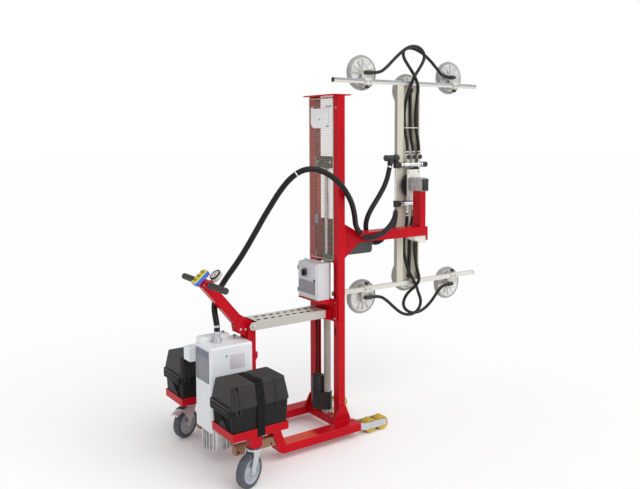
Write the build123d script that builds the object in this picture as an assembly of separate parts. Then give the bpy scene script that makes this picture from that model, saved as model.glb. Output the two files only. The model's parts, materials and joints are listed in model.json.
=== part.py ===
"""Panel tilting trolley with a battery vacuum lifter, in millimetres.

X points forward, Y to the operator's left, Z up. The sizes are worked out from the mast's
foot on the floor, and the finished pieces are moved so that the origin lies on the floor
under the middle of the whole trolley.
"""
from build123d import *
import os
from math import radians, tan

# Clearances and shared walls
run_gap = 0.05
slide_gap = 0.3
tube_wall = 4.0

# Castors
castor_x = -755.0
castor_y = 392.0
castor_trail = 45.0
castor_turn = 23.0
castor_wheel_d = 180.0
castor_tread_w = 46.0
castor_tread_round = 9.0
castor_rim_r = 64.0
castor_web_t = 16.0
castor_hub_r = 24.0
castor_hub_w = 52.0
castor_axle_r = 6.0
castor_nut_r = 10.0
castor_nut_h = 6.0
castor_mount_z = 205.0
castor_mount_w = 64.0
stem_r = 10.0
crown_r = 38.0
crown_h = 20.0
fork_plate = 4.0
fork_top_half = 30.0
fork_eye_r = 18.0

# Brake pedal of the left castor
pedal_pin_r = 4.0
pedal_pin_back = 43.0
pedal_pin_rise = 88.0
pedal_reach = 52.0
pedal_drop = 16.0
pedal_w = 50.0
pedal_t = 5.0
pedal_ear_r = 9.0

# Legs, risers and cross tubes
leg_w = 90.0
leg_h = 50.0
leg_y = 210.0
leg_z = 40.0
leg_front = 70.0
leg_back = -478.0
riser_run = 70.0
riser_heel = 30.0
riser_heel_rise = 10.0
riser_t = 55.0
cross_tube_w = 60.0
crossbeam_z = 235.0
crossbeam_h = 50.0
crossbeam_w = 50.0
foot_gusset_h = 88.0
foot_gusset_l = 32.0
foot_gusset_toe = 34.0
foot_gusset_back = 44.0

# Load rollers and their brackets
roller_r = 42.0
roller_x = 160.0
roller_pitch = 92.0
roller_bore_r = 8.0
roller_round = 6.0
bracket_plate = 8.0
bracket_tail = 60.0
bracket_web = 50.0
bracket_drop = 12.0
bracket_neck = 40.0

# Mast
column_in = 98.0
column_w = 56.0
column_d = 47.0
column_wall = 5.0
mast_top = 2066.0
top_plate_t = 8.0
top_plate_l = 135.0
top_plate_half = 159.0
mast_bracket_t = 8.5
mast_bracket_half = 140.0
mast_bracket_z = 700.0
shelf_z = 838.0
shelf_t = 8.0
shelf_skirt = 34.0

# Mesh guard and the plate hung on it
mesh_t = 3.0
mesh_right = -104.0
mesh_bottom = 1066.0
mesh_drop = 8.0
mesh_border = 9.0
mesh_columns = 8
mesh_rows = 30
mesh_bar = 5.0
hung_plate_y = 36.0
hung_plate_w = 186.0
hung_plate_z = 1874.0
hung_plate_h = 120.0
hung_plate_t = 4.0
hung_plate_round = 40.0

# Control box
box_back = -152.0
box_front = -54.0
box_w = 198.0
box_h = 222.0
box_round = 5.0
box_door_t = 10.0
box_door_rim = 6.0
lamp_r = 12.0
lamp_h = 14.0
lamp_x = -118.0
lamp_y = 62.0
switch_y = 20.0
switch_z = 998.0
switch_plate_w = 46.0
switch_plate_t = 3.0
switch_r = 20.0
switch_t = 12.0
switch_bar_w = 10.0
switch_bar_t = 8.0
switch_shaft_r = 4.0
switch_shaft_l = 14.0

# Lift actuator
actuator_tube_r = 23.0
actuator_base_w = 50.0
actuator_base_l = 44.0
actuator_top = 1100.0
actuator_floor_t = 4.0
rod_r = 15.0
rod_bottom = 735.0
motor_x = -34.0
motor_y = 54.5
motor_r = 40.0
motor_top = 326.0
motor_round = 8.0
gear_case_z = 118.0
gear_case_h = 110.0
gear_case_r = 29.0

# Perforated beam
beam_top = 768.0
beam_h = 48.0
beam_w = 150.0
beam_wall = 3.0
beam_front = -65.0
beam_nose = 52.0
beam_holes = 9
beam_hole = 27.0
beam_hole_row = 33.0
beam_hole_pitch = 50.0

# Rear post and handle
post_back = -589.0
post_l = 48.0
post_w = 100.0
post_foot_t = 8.0
post_foot_half = 65.0
post_top = 740.0
catch_z = 540.0
catch_h = 46.0
catch_w = 26.0
catch_t = 12.0
handle_x = -838.0
handle_z = 1014.0
handle_half = 256.0
handle_bar_r = 14.0
arm_t = 58.0
arm_w = 56.0
arm_foot_z = 690.0
arm_brace_w = 64.0
arm_brace_front_h = 16.0
arm_brace_crest = 77.0
arm_brace_crest_back = 47.0
arm_brace_reach = 68.0
arm_brace_reach_h = 8.0
arm_brace_heel = 60.0
arm_brace_heel_drop = 31.0
arm_brace_foot_drop = 58.0
grip_r = 18.0
grip_l = 174.0
grip_end = 6.0

# Pendant control and vacuum gauge
pendant_x = -856.0
pendant_y = 8.0
pendant_z = 1046.0
pendant_tilt = 40.0
pendant_l = 104.0
pendant_w = 60.0
pendant_case_h = 16.0
pendant_cover_h = 14.0
pendant_round = 12.0
pendant_crown = 4.0
pendant_stand = 12.0
key_pitch = 30.0
key_l = 22.0
key_w = 40.0
key_t = 5.0
key_pin_r = 2.0
key_pin_depth = 5.0
key_proud = 3.0
key_well = 11.0
key_room = 1.2
gauge_x = -785.0
gauge_y = -44.0
gauge_z = 1056.0
gauge_r = 33.0
gauge_t = 30.0
gauge_rim = 5.0
gauge_clamp_w = 22.0
gauge_clamp_t = 7.0

# Vacuum pump
pump_l = 266.0
pump_w = 200.0
pump_z = 190.0
pump_h = 478.0
pump_round = 16.0
pump_crown = 12.0
pump_panel_w = 96.0
pump_panel_z = 420.0
pump_panel_h = 190.0
pump_panel_t = 3.0
nozzle_x = -763.0
nozzle_r = 15.0
nozzle_top = 733.0
nozzle_collar_r = 24.0
nozzle_collar_h = 22.0
filter_l = 84.0
filter_w = 72.0
filter_h = 80.0
filter_z = 590.0
filter_round = 8.0
filter_proud = 35.0
pump_motor_r = 92.0
pump_motor_core_r = 76.0
pump_motor_h = 118.0
pump_motor_fins = 24
pump_motor_fin_t = 4.0
pump_motor_x = -762.0

# Battery boxes, lids, straps and trays
battery_x = -729.0
battery_y = 309.0
battery_rim_z = 430.0
battery_taper_l = 9.0
battery_taper_w = 4.0
battery_round = 14.0
lid_l = 350.0
lid_w = 238.0
lid_lip_l = 5.0
lid_lip_w = 4.0
lid_band = 10.0
lid_top_z = 550.0
lid_top_l = 322.0
lid_top_w = 188.0
lid_groove = 60.0
lid_groove_depth = 6.0
battery_ledge_w = 180.0
battery_ledge_t = 18.0
battery_ledge_z = 408.0
battery_ledge_h = 20.0
strap_w = 46.0
strap_t = 2.5
tray_z = 264.0
tray_t = 6.0
tray_lip = 44.0
tray_lip_t = 4.0
tray_room = 1.0
ballast_y = 222.0
ballast_w = 45.0
ballast_h = 50.0
ballast_z = 100.0
ballast_back = -785.0

# Carriage
side_bar_t = 8.0
side_bar_l = 30.0
side_gap = 5.0
carriage_bottom = 1043.0
carriage_top = 1313.0
crosshead_z = 1632.0
crosshead_h = 71.0
crosshead_l = 36.0
front_plate_t = 12.0
front_gap = 3.5
pad_h = 60.0
pad_end = 6.0
arm_y = 30.0
boom_w = 100.0
boom_h = 60.0
boom_z = 1150.0
nose_end = 361.0
nose_plate_t = 8.0
gusset_t = 8.0
gusset_top_l = 14.0
gusset_top_reach = 205.0
gusset_low_l = 64.0
gusset_low_reach = 195.0
tilt_shaft_r = 22.0
tilt_shaft_l = 56.0
tilt_motor_back = 150.0
tilt_motor_front = 356.0
tilt_motor_w = 80.0
tilt_motor_h = 75.0
tilt_motor_round = 22.0

# Boom, post and rotation gearbox
root_gap = 1.0
root_plate_t = 8.0
boom_end = 823.0
end_plate_t = 8.0
end_plate_drop = 34.0
arm_post_x = 763.0
arm_post_l = 46.0
arm_post_w = 78.0
arm_post_top = 1450.0
wedge_back = 715.0
wedge_heel = 28.0
wedge_depth = 52.0
wedge_w = 80.0
gearbox_back = 768.0
gearbox_l = 58.0
gearbox_h = 90.0
gearbox_y = -22.0
gearbox_end = 112.0
gearbox_round = 6.0
gearbox_cap_t = 12.0
gearbox_cap_inset = 5.0
bearing_plate_t = 8.0
bearing_plate_back = 44.0
bearing_plate_front = 72.0
bearing_plate_h = 212.0

# Turning head
turn_x = 805.0
turn_z = 1487.0
turn_shaft_r = 12.0
turn_shaft_l = 60.0
disc_r = 85.0
disc_t = 12.0
disc_gap = 0.5
disc_hub_r = 36.0
spine_y = 158.0
spine_d = 30.0
spine_back = 97.0
spine_ahead = 111.0
spine_wall = 3.0
spine_lip_back = 58.0
spine_lip_ahead = 12.0
bar_size = 30.0
bar_wall = 2.5
bar_left = -634.0
bar_right = 674.0
bar_top_z = 2187.0
bar_low_z = 793.0
bar_gap = 1.0
splice_w = 120.0

# Suction cups and their mounts
cup_left = -353.0
cup_right = 458.0
cup_mid = 45.0
cup_top_z = 2247.0
cup_low_z = 730.0
cup_mid_top_z = 2140.0
cup_mid_low_z = 838.0
cup_r = 119.0
cup_plate_r = 100.0
cup_plate_t = 6.0
cup_hub_r = 28.0
cup_hub_h = 18.0
cup_ribs = 12
cup_rib_t = 4.0
cup_rib_h = 8.0
cup_seal_in = 82.0
cup_lip_in = 102.0
cup_lip_out = 115.0
cup_seal_h = 26.0
mount_plate_t = 10.0
mount_plate_w = 50.0
mount_clamp_w = 56.0
mount_clamp_wall = 3.0
mount_clamp_rise = 7.0
knob_r = 14.0
knob_h = 16.0
knob_stem_r = 4.0
knob_stem_h = 8.0

# Vacuum pipework on the head
manifold_y = 140.0
manifold_r = 17.0
manifold_top_z = 1626.0
manifold_low_z = 1358.0
manifold_l = 200.0
manifold_back = 716.0
manifold_cap_l = 45.0
lane_pitch = 53.0
lane_mid = 838.0
port_r = 9.0
port_top_z = 1702.0
port_low_z = 1290.0
valve_r = 15.0
valve_l = 26.0
valve_z = 1680.0
riser_pipe_x = 680.0
riser_pipe_r = 9.0
elbow_back = 580.0
elbow_z = 1652.0
elbow_h = 46.0
elbow_w = 36.0
elbow_round = 8.0
hose_barb_l = 34.0
coupling_l = 44.0
coupling_h = 42.0
cup_elbow_r = 13.0
cup_elbow_reach = 45.0
cup_elbow_y = 173.0
mid_elbow_w = 28.0
mid_elbow_h = 30.0

# Hoses and the motor lead: diameters, and routes chosen by hand
main_hose_d = 34.0
cup_hose_d = 22.0
lead_d = 8.0
clip_wall = 4.0
clip_w = 16.0
arc_share = 0.45

lead_route = [
    (motor_x, motor_y, motor_top), (motor_x, motor_y, 400), (-33, 58, 480),
    (-30, 64, 555), (-27.75, 60, 630), (-27.75, 60, mast_bracket_z),
]
lift_hose_route = [
    (nozzle_x, 0, nozzle_top), (nozzle_x, 0, 770), (-762, 26, 822), (-752, 56, 876), (-718, 70, 940),
    (-665, 66, 1015), (-600, 34, 1112), (-530, -5, 1245), (-467, -40, 1374), (-378, -95, 1541),
    (-311, -140, 1618), (-244, -175, 1642), (-153, -198, 1620), (-41, -200, 1545), (52, -176, 1442),
    (118, -126, 1348), (170, -70, 1251), (220, -56, 1215),
]
tilt_hose_route = [
    (220, -56, 1215), (265, -43.4, 1182.6), (326, -42, 1176), (384, -43, 1188), (440, -45, 1216),
    (489, -42, 1254), (532, -22, 1292), (570, 16, 1314), (606, 56, 1318), (634, 88, 1298),
    (642, 102, 1262), (630, 104, 1226), (606, 102, 1198), (576, 102, 1172),
]
turn_hose_route = [
    (576, 102, 1172), (546, 102, 1146), (510, 104, 1120), (466, 106, 1112), (424, 108, 1134),
    (400, 108, 1178), (390, 108, 1228), (400, 108, 1280), (430, 108, 1332), (474, 110, 1384),
    (524, 115, 1440), (574, 122, 1506), (608, 131, 1574), (626, 138, 1636),
]
top_left_route = [
    (lane_mid - lane_pitch, manifold_y, port_top_z), (lane_mid - lane_pitch, manifold_y, 1760),
    (781, 158, 1838), (779, 168, 1920), (779, 167, 2010), (782, 150, 2092), (812, 142, 2168),
    (848, 146, 2232), (902, 152, 2292), (946, 160, 2342), (964, 165, 2388), (938, 168, 2428),
    (882, 169, 2448), (818, 169, 2438), (758, 168, 2404), (696, 170, 2354), (624, 172, 2290),
    (560, cup_elbow_y, cup_top_z), (turn_x + cup_left + cup_elbow_reach, cup_elbow_y, cup_top_z),
]
top_right_route = [
    (lane_mid + lane_pitch, manifold_y, port_top_z), (lane_mid + lane_pitch, manifold_y, 1760),
    (886, 156, 1838), (881, 166, 1920), (880, 163, 2010), (872, 140, 2092), (852, 106, 2170),
    (818, 116, 2246), (788, 144, 2310), (772, 176, 2366), (796, 199, 2418), (864, 205, 2440),
    (954, 201, 2418), (1034, 193, 2366), (1100, 183, 2302),
    (1150, cup_elbow_y, cup_top_z), (turn_x + cup_right - cup_elbow_reach, cup_elbow_y, cup_top_z),
]
low_left_route = [
    (lane_mid - lane_pitch, manifold_y, port_low_z), (lane_mid - lane_pitch, manifold_y, 1232),
    (781, 158, 1154), (780, 167, 1072), (784, 165, 984), (802, 150, 894), (842, 134, 814),
    (884, 146, 760), (922, 174, 716), (962, 178, 640), (932, 178, 574), (858, 176, 552),
    (776, 176, 572), (706, 176, 624), (632, 175, 690),
    (562, cup_elbow_y, cup_low_z), (turn_x + cup_left + cup_elbow_reach, cup_elbow_y, cup_low_z),
]
low_right_route = [
    (lane_mid + lane_pitch, manifold_y, port_low_z), (lane_mid + lane_pitch, manifold_y, 1232),
    (886, 156, 1154), (881, 166, 1072), (880, 163, 984), (880, 140, 894), (872, 100, 824),
    (852, 112, 776), (826, 162, 728), (808, 188, 680), (806, 202, 628), (838, 205, 582),
    (908, 205, 550), (1000, 200, 562), (1084, 190, 628),
    (1152, cup_elbow_y, cup_low_z), (turn_x + cup_right - cup_elbow_reach, cup_elbow_y, cup_low_z),
]

# Heights and faces that several pieces share
leg_top = leg_z + leg_h
column_out = column_in + column_w
column_back = -column_d / 2
axle_z = castor_wheel_d / 2
crown_top = castor_mount_z - slide_gap
crown_bottom = crown_top - crown_h
fork_inner = castor_hub_w / 2 + slide_gap
fork_outer = fork_inner + fork_plate
battery_rim_l = lid_l - 2 * lid_lip_l
battery_rim_w = lid_w - 2 * lid_lip_w
battery_l = battery_rim_l - 2 * battery_taper_l
battery_w = battery_rim_w - 2 * battery_taper_w
tray_floor = tray_z + tray_t
tray_lean = (tray_lip - tray_t) / (battery_rim_z - tray_floor)
tray_half_l = battery_l / 2 + battery_taper_l * tray_lean + tray_room
tray_half_w = battery_w / 2 + battery_taper_w * tray_lean + tray_room
crossbeam_front = battery_x + tray_half_l + tray_lip_t + crossbeam_w
crossbeam_back = crossbeam_front - crossbeam_w
crossbeam_top = crossbeam_z + crossbeam_h
post_front = post_back + post_l
beam_bottom = beam_top - beam_h
shelf_bottom = shelf_z - shelf_t
box_z = shelf_z
carriage_half = column_in - side_gap
boom_top = boom_z + boom_h
boom_left = arm_y + boom_w / 2
boom_right = arm_y - boom_w / 2
tilt_z = boom_z + boom_h / 2
root_back = nose_end + root_gap
spine_front = spine_y + spine_d
cup_plate_y = spine_front + mount_plate_t + cup_hub_h
lip_y = cup_plate_y + cup_plate_t + cup_seal_h
disc_y = gearbox_end + bearing_plate_t + disc_gap
gearbox_z = arm_post_top
mesh_top = mast_top - mesh_drop
gear_case_top = gear_case_z + gear_case_h
post_foot_top = crossbeam_top + post_foot_t


def block(x, y, z):
    """Box between pairs of limits."""
    middle = [(low + high) / 2 for low, high in (x, y, z)]
    return Pos(*middle) * Box(x[1] - x[0], y[1] - y[0], z[1] - z[0])


def prism_x(outline, x):
    """Outline in (y, z), extruded between two x limits."""
    return extrude(Plane.YZ.offset(x[0]) * make_face(Polyline(*outline, close=True)), amount=x[1] - x[0])


def prism_y(outline, y):
    """Outline in (x, z), extruded between two y limits."""
    return extrude(Plane.XZ.offset(-y[1]) * make_face(Polyline(*outline, close=True)), amount=y[1] - y[0])


def prism_z(outline, z):
    """Outline in (x, y), extruded between two z limits."""
    return extrude(Plane.XY.offset(z[0]) * make_face(Polyline(*outline, close=True)), amount=z[1] - z[0])


def round_bar(start, end, radius):
    """Cylinder between two points."""
    axis = Vector(*end) - Vector(*start)
    return Solid.make_cylinder(radius, axis.length, Plane(origin=start, z_dir=axis))


def turned_y(outline, place):
    """Outline in (radius, offset along Y), revolved about the Y direction at a place."""
    return Pos(*place) * revolve(make_face(Polyline(*outline, close=True)), Axis.Y)


def square_tube(x, y, z, wall, along):
    """Rectangular tube, open at both ends along one axis."""
    limits = {"x": x, "y": y, "z": z}
    inner = {name: (low + wall, high - wall) for name, (low, high) in limits.items()}
    inner[along] = limits[along]
    return block(x, y, z) - block(inner["x"], inner["y"], inner["z"])


def both_sides(piece):
    """The piece and its mirror image across the trolley's middle plane."""
    return [piece, mirror(piece, Plane.XZ)]


def hose(name, route, diameter):
    """Tube along straight runs joined by the largest arcs that the runs allow."""
    points = [Vector(*point) for point in route]
    radii = []
    for before, corner, after in zip(points, points[1:], points[2:]):
        arriving = corner - before
        leaving = after - corner
        shorter = min(arriving.length, leaving.length)
        radii.append(arc_share * shorter / tan(radians(arriving.get_angle(leaving) / 2)))
    path = FilletPolyline(*points, radius=radii)
    section = Plane(origin=path @ 0, z_dir=path % 0) * Circle(diameter / 2)
    tube = sweep(section, path=path)
    filled = tube.volume / (section.area * path.length)
    print(name, "length", round(path.length), "tightest", round(min(radii)), "filled", round(filled, 4))
    return tube


def swung(piece, side):
    """A castor's piece, turned about the castor's stem to the way that it trails."""
    stem = Pos(castor_x, side * castor_y, 0)
    return stem * Rot(0, 0, castor_turn) * stem.inverse() * piece


def castor_fork(side):
    """Swivel fork with its crown, side plates and axle."""
    middle = side * castor_y
    axle_x = castor_x - castor_trail
    plate_top = crown_top - fork_plate
    outline = [
        (castor_x + fork_top_half, plate_top), (castor_x - fork_top_half, plate_top),
        (axle_x - fork_eye_r, axle_z), (axle_x + fork_eye_r, axle_z),
    ]
    plates = (middle + fork_inner, middle + fork_outer)
    cheek = prism_y(outline, plates)
    cheek += round_bar((axle_x, plates[0], axle_z), (axle_x, plates[1], axle_z), fork_eye_r)
    if side > 0:
        pin_x = axle_x - pedal_pin_back
        pin_z = axle_z + pedal_pin_rise
        ear = [
            (castor_x, plate_top), (pin_x, pin_z + pedal_ear_r),
            (pin_x, pin_z - pedal_ear_r), (axle_x, axle_z + fork_eye_r),
        ]
        cheek += prism_y(ear, plates)
        cheek += round_bar((pin_x, plates[0], pin_z), (pin_x, plates[1], pin_z), pedal_ear_r)
        cheek -= round_bar((pin_x, plates[0], pin_z), (pin_x, plates[1], pin_z), pedal_pin_r + run_gap)
    other = mirror(cheek, Plane.XZ.offset(-middle))
    fork = Pos(castor_x, middle, (crown_top + crown_bottom) / 2) * Cylinder(crown_r, crown_h)
    fork += [cheek, other]
    reach = fork_outer + castor_nut_h
    fork += round_bar((axle_x, middle - reach, axle_z), (axle_x, middle + reach, axle_z), castor_axle_r)
    for end in (-1, 1):
        start = (axle_x, middle + end * fork_outer, axle_z)
        fork += round_bar(start, (axle_x, middle + end * reach, axle_z), castor_nut_r)
    bore = round_bar((castor_x, middle, crown_bottom), (castor_x, middle, crown_top), stem_r + run_gap)
    return swung(fork - bore, side)


def castor_wheel(side):
    """Tyre, rim, web and hub, bored for the axle."""
    bore = castor_axle_r + run_gap
    hub = castor_hub_w / 2
    web = castor_web_t / 2
    tread = castor_tread_w / 2
    outline = [
        (bore, -hub), (castor_hub_r, -hub), (castor_hub_r, -web), (castor_rim_r, -web),
        (castor_rim_r, -tread), (axle_z, -tread), (axle_z, tread), (castor_rim_r, tread),
        (castor_rim_r, web), (castor_hub_r, web), (castor_hub_r, hub), (bore, hub),
    ]
    face = make_face(Polyline(*outline, close=True))
    face = fillet(face.vertices().group_by(Axis.X)[-1], castor_tread_round)
    wheel = Pos(castor_x - castor_trail, side * castor_y, axle_z) * revolve(face, Axis.Y)
    return swung(wheel, side)


def brake_pedal():
    """Foot pedal on its pin, behind the left fork."""
    pin_x = castor_x - castor_trail - pedal_pin_back
    pin_z = axle_z + pedal_pin_rise
    pin_y = (castor_y - fork_outer, castor_y + fork_outer)
    pedal = round_bar((pin_x, pin_y[0], pin_z), (pin_x, pin_y[1], pin_z), pedal_pin_r)
    lever = [
        (pin_x + pedal_t, pin_z + pedal_t), (pin_x - pedal_t, pin_z + pedal_t),
        (pin_x - pedal_reach, pin_z - pedal_drop), (pin_x - pedal_reach, pin_z - pedal_drop - pedal_t),
        (pin_x - pedal_t, pin_z - pedal_t), (pin_x + pedal_t, pin_z - pedal_t),
    ]
    inner = fork_inner - slide_gap
    pedal += prism_y(lever, (castor_y - inner, castor_y + inner))
    tread = [
        (pin_x - pedal_reach / 2, pin_z - pedal_drop / 2 + pedal_t),
        (pin_x - pedal_reach, pin_z - pedal_drop + pedal_t), (pin_x - pedal_reach, pin_z - pedal_drop),
        (pin_x - pedal_reach / 2, pin_z - pedal_drop / 2),
    ]
    pedal += prism_y(tread, (castor_y - pedal_w / 2, castor_y + pedal_w / 2))
    return swung(pedal, 1)


def chassis_frame():
    """Two legs with risers, cross tube, rear crossbeam and foot gussets, welded together."""
    rise = crossbeam_z - leg_z - riser_heel_rise
    heel_x = leg_back - riser_heel
    outline = [
        (leg_front, leg_z), (leg_back, leg_z), (heel_x, leg_z + riser_heel_rise),
        (heel_x - riser_run, crossbeam_z), (heel_x - riser_run + riser_t, crossbeam_z),
        (heel_x + riser_t - riser_run * (leg_top - leg_z - riser_heel_rise) / rise, leg_top),
        (leg_front, leg_top),
    ]
    leg = prism_y(outline, (leg_y - leg_w / 2, leg_y + leg_w / 2))
    leg -= block(
        (leg_back + leg_h, leg_front),
        (leg_y - leg_w / 2 + tube_wall, leg_y + leg_w / 2 - tube_wall),
        (leg_z + tube_wall, leg_top - tube_wall),
    )
    gusset_low = leg_top - leg_h / 2
    gusset = [
        (column_back - foot_gusset_back, gusset_low), (-column_back + foot_gusset_l, gusset_low),
        (-column_back + foot_gusset_l, gusset_low + foot_gusset_toe),
        (-column_back, leg_top + foot_gusset_h), (column_back, leg_top + foot_gusset_h),
        (column_back - foot_gusset_back, gusset_low + foot_gusset_toe),
    ]
    leg += prism_y(gusset, (column_out, leg_y - leg_w / 2))
    frame = leg + mirror(leg, Plane.XZ)
    inside = leg_y - leg_w / 2
    half = cross_tube_w / 2
    frame += block((-half, half), (-inside, inside), (leg_z, leg_top))
    outside = leg_y + leg_w / 2
    frame += square_tube(
        (crossbeam_back, crossbeam_front), (-outside, outside), (crossbeam_z, crossbeam_top), tube_wall, "y"
    )
    return frame


def roller_bracket():
    """Left roller bracket: a tail in the leg's end, two cheeks and the roller axles."""
    half = leg_w / 2 - tube_wall - slide_gap
    low = leg_z + tube_wall + slide_gap
    high = leg_top - tube_wall - slide_gap
    front_x = roller_x + roller_pitch
    back = leg_front - bracket_tail
    nose = (high - low) / 2
    nose_z = (high + low) / 2 - bracket_drop
    outline = [
        (back, low), (leg_front, low), (leg_front + bracket_neck, nose_z - nose), (front_x, nose_z - nose),
        (front_x, nose_z + nose), (leg_front + bracket_neck, nose_z + nose), (leg_front, high), (back, high),
    ]
    cheek = prism_y(outline, (half - bracket_plate, half))
    cheek += round_bar((front_x, half - bracket_plate, nose_z), (front_x, half, nose_z), nose)
    bracket = cheek + mirror(cheek, Plane.XZ)
    bracket += block((back, back + bracket_web), (-half, half), (low, high))
    for axle_x in (roller_x, front_x):
        bracket += round_bar((axle_x, -half, roller_r), (axle_x, half, roller_r), roller_bore_r)
    return Pos(0, leg_y, 0) * bracket


def load_roller(place_x, side):
    """Load roller with relieved ends, bored for its axle."""
    half = leg_w / 2 - tube_wall - slide_gap - bracket_plate - slide_gap
    bore = roller_bore_r + run_gap
    outline = [(bore, -half), (roller_r, -half), (roller_r, half), (bore, half)]
    face = make_face(Polyline(*outline, close=True))
    face = fillet(face.vertices().group_by(Axis.X)[-1], roller_round)
    return Pos(place_x, side * leg_y, roller_r) * revolve(face, Axis.Y)


def battery_tray():
    """Left tray: floor with a lip all round, and the block and stem of the castor."""
    outer_l = tray_half_l + tray_lip_t
    outer_w = tray_half_w + tray_lip_t
    x = (battery_x - outer_l, battery_x + outer_l)
    y = (battery_y - outer_w, battery_y + outer_w)
    tray = block(x, y, (tray_z, tray_z + tray_lip))
    inner_x = (battery_x - tray_half_l, battery_x + tray_half_l)
    inner_y = (battery_y - tray_half_w, battery_y + tray_half_w)
    tray -= block(inner_x, inner_y, (tray_floor, tray_z + tray_lip))
    half_mount = castor_mount_w / 2
    tray += block(
        (castor_x - half_mount, castor_x + half_mount), (castor_y - half_mount, castor_y + half_mount),
        (castor_mount_z, tray_z),
    )
    stem = round_bar((castor_x, castor_y, crown_bottom), (castor_x, castor_y, castor_mount_z), stem_r)
    return tray + stem


def battery_box():
    """Left battery box: tapered body with a moulded handle ledge at the back."""
    foot = Pos(battery_x, battery_y, tray_floor) * RectangleRounded(battery_l, battery_w, battery_round)
    rim = RectangleRounded(battery_rim_l, battery_rim_w, battery_round)
    body = loft([foot, Pos(battery_x, battery_y, battery_rim_z) * rim], ruled=True)
    back = battery_x - battery_rim_l / 2
    half = battery_ledge_w / 2
    top = battery_ledge_z + battery_ledge_h
    low = battery_ledge_z - battery_ledge_h
    ledge = [
        (back - battery_ledge_t, top), (back + battery_ledge_t, top),
        (back + battery_ledge_t, low), (back - battery_ledge_t, battery_ledge_z),
    ]
    return body + prism_y(ledge, (battery_y - half, battery_y + half))


def battery_lid():
    """Left lid: upright band, sloping shoulders and a groove for the strap."""
    band_top = battery_rim_z + lid_band
    low = Pos(battery_x, battery_y, band_top) * RectangleRounded(lid_l, lid_w, battery_round)
    high = Pos(battery_x, battery_y, lid_top_z) * RectangleRounded(lid_top_l, lid_top_w, battery_round)
    seat = Pos(battery_x, battery_y, battery_rim_z) * RectangleRounded(lid_l, lid_w, battery_round)
    band = extrude(seat, lid_band)
    lid = band + loft([low, high], ruled=True)
    half = lid_groove / 2
    room = lid_w
    groove = block(
        (battery_x - half, battery_x + half), (battery_y - room, battery_y + room),
        (lid_top_z - lid_groove_depth, lid_top_z + lid_groove_depth),
    )
    return lid - groove


def battery_strap():
    """Left strap: a flat band over the lid, its ends hooked outside the tray's lips."""
    lip = tray_half_w + tray_lip_t + slide_gap
    band_top = battery_rim_z + lid_band
    rim = lid_w / 2 + slide_gap
    top = lid_top_z - lid_groove_depth + slide_gap
    slope = (lid_w - lid_top_w) / 2 / (lid_top_z - band_top)
    shoulder = lid_top_w / 2 + slide_gap + lid_groove_depth * slope
    side = max(lip, rim)
    inner = [
        (-lip, tray_z), (-lip, tray_z + tray_lip), (-side, band_top), (-shoulder, top),
        (shoulder, top), (side, band_top), (lip, tray_z + tray_lip), (lip, tray_z),
    ]
    outer = [(y + strap_t * (1 if y > 0 else -1), z + (strap_t if z == top else 0)) for y, z in inner]
    half = strap_w / 2
    band = prism_x(outer, (battery_x - half, battery_x + half))
    band -= prism_x(inner, (battery_x - half, battery_x + half))
    return Pos(0, battery_y, 0) * band


def ballast_bar(frame):
    """Left ballast bar, cut to the slope of the riser that carries it."""
    bar = block(
        (ballast_back, leg_back - riser_heel / 2), (ballast_y - ballast_w / 2, ballast_y + ballast_w / 2),
        (ballast_z, ballast_z + ballast_h),
    )
    cut = bar - frame
    return cut.solids().sort_by(Axis.X)[0]


def mast_column():
    """Left mast column, a channel open towards the middle."""
    flange = column_d / 2
    throat = flange - column_wall
    outline = [
        (-flange, column_in), (-flange, column_out), (flange, column_out), (flange, column_in),
        (throat, column_in), (throat, column_out - column_wall), (-throat, column_out - column_wall),
        (-throat, column_in),
    ]
    return prism_z(outline, (leg_top, mast_top))


def mast_top_plate():
    """Plate that closes the mast's top."""
    plate = extrude(RectangleRounded(top_plate_l, 2 * top_plate_half, box_round), top_plate_t)
    return Pos(0, 0, mast_top) * plate


def mast_brackets():
    """Plate across the columns' backs, with the box's shelf and the cheeks inside the beam."""
    back = column_back - mast_bracket_t
    bracket = block((back, column_back), (-mast_bracket_half, mast_bracket_half), (mast_bracket_z, shelf_z))
    half = box_w / 2
    bracket += block((box_back, back), (-half, half), (shelf_bottom, shelf_z))
    skirt = [(box_back, shelf_bottom), (back, shelf_bottom), (back, shelf_bottom - shelf_skirt)]
    for side in (-1, 1):
        edges = sorted((side * half, side * (half - shelf_t)))
        bracket += prism_y(skirt, edges)
        inside = beam_w / 2 - beam_wall - slide_gap
        cheek_y = sorted((side * inside, side * (inside - shelf_t)))
        cheek_top = beam_top - beam_wall - slide_gap
        cheek = [
            (beam_front - shelf_skirt, beam_bottom), (back, mast_bracket_z), (back, cheek_top),
            (beam_front - shelf_skirt, cheek_top),
        ]
        bracket += prism_y(cheek, cheek_y)
    return bracket


def mesh_guard():
    """Flat net behind the mast, one sheet with square gaps."""
    width = column_out - mesh_right
    height = mesh_top - mesh_bottom
    pitch_y = (width - 2 * mesh_border + mesh_bar) / mesh_columns
    pitch_z = (height - 2 * mesh_border + mesh_bar) / mesh_rows
    gap = Rectangle(pitch_y - mesh_bar, pitch_z - mesh_bar)
    net = Rectangle(width, height) - GridLocations(pitch_y, pitch_z, mesh_columns, mesh_rows) * gap
    middle = Pos((column_out + mesh_right) / 2, (mesh_top + mesh_bottom) / 2)
    return extrude(Plane.YZ.offset(column_back - mesh_t) * (middle * net), amount=mesh_t)


def hung_plate():
    """White plate on the mesh, with its lower corners rounded."""
    half = hung_plate_w / 2
    outline = [(-half, 0), (half, 0), (half, hung_plate_h), (-half, hung_plate_h)]
    face = make_face(Polyline(*outline, close=True))
    face = fillet(face.vertices().group_by(Axis.Y)[0], hung_plate_round)
    plane = Plane.YZ.offset(column_back - mesh_t - hung_plate_t)
    return extrude(plane * (Pos(hung_plate_y, hung_plate_z) * face), amount=hung_plate_t)


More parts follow.
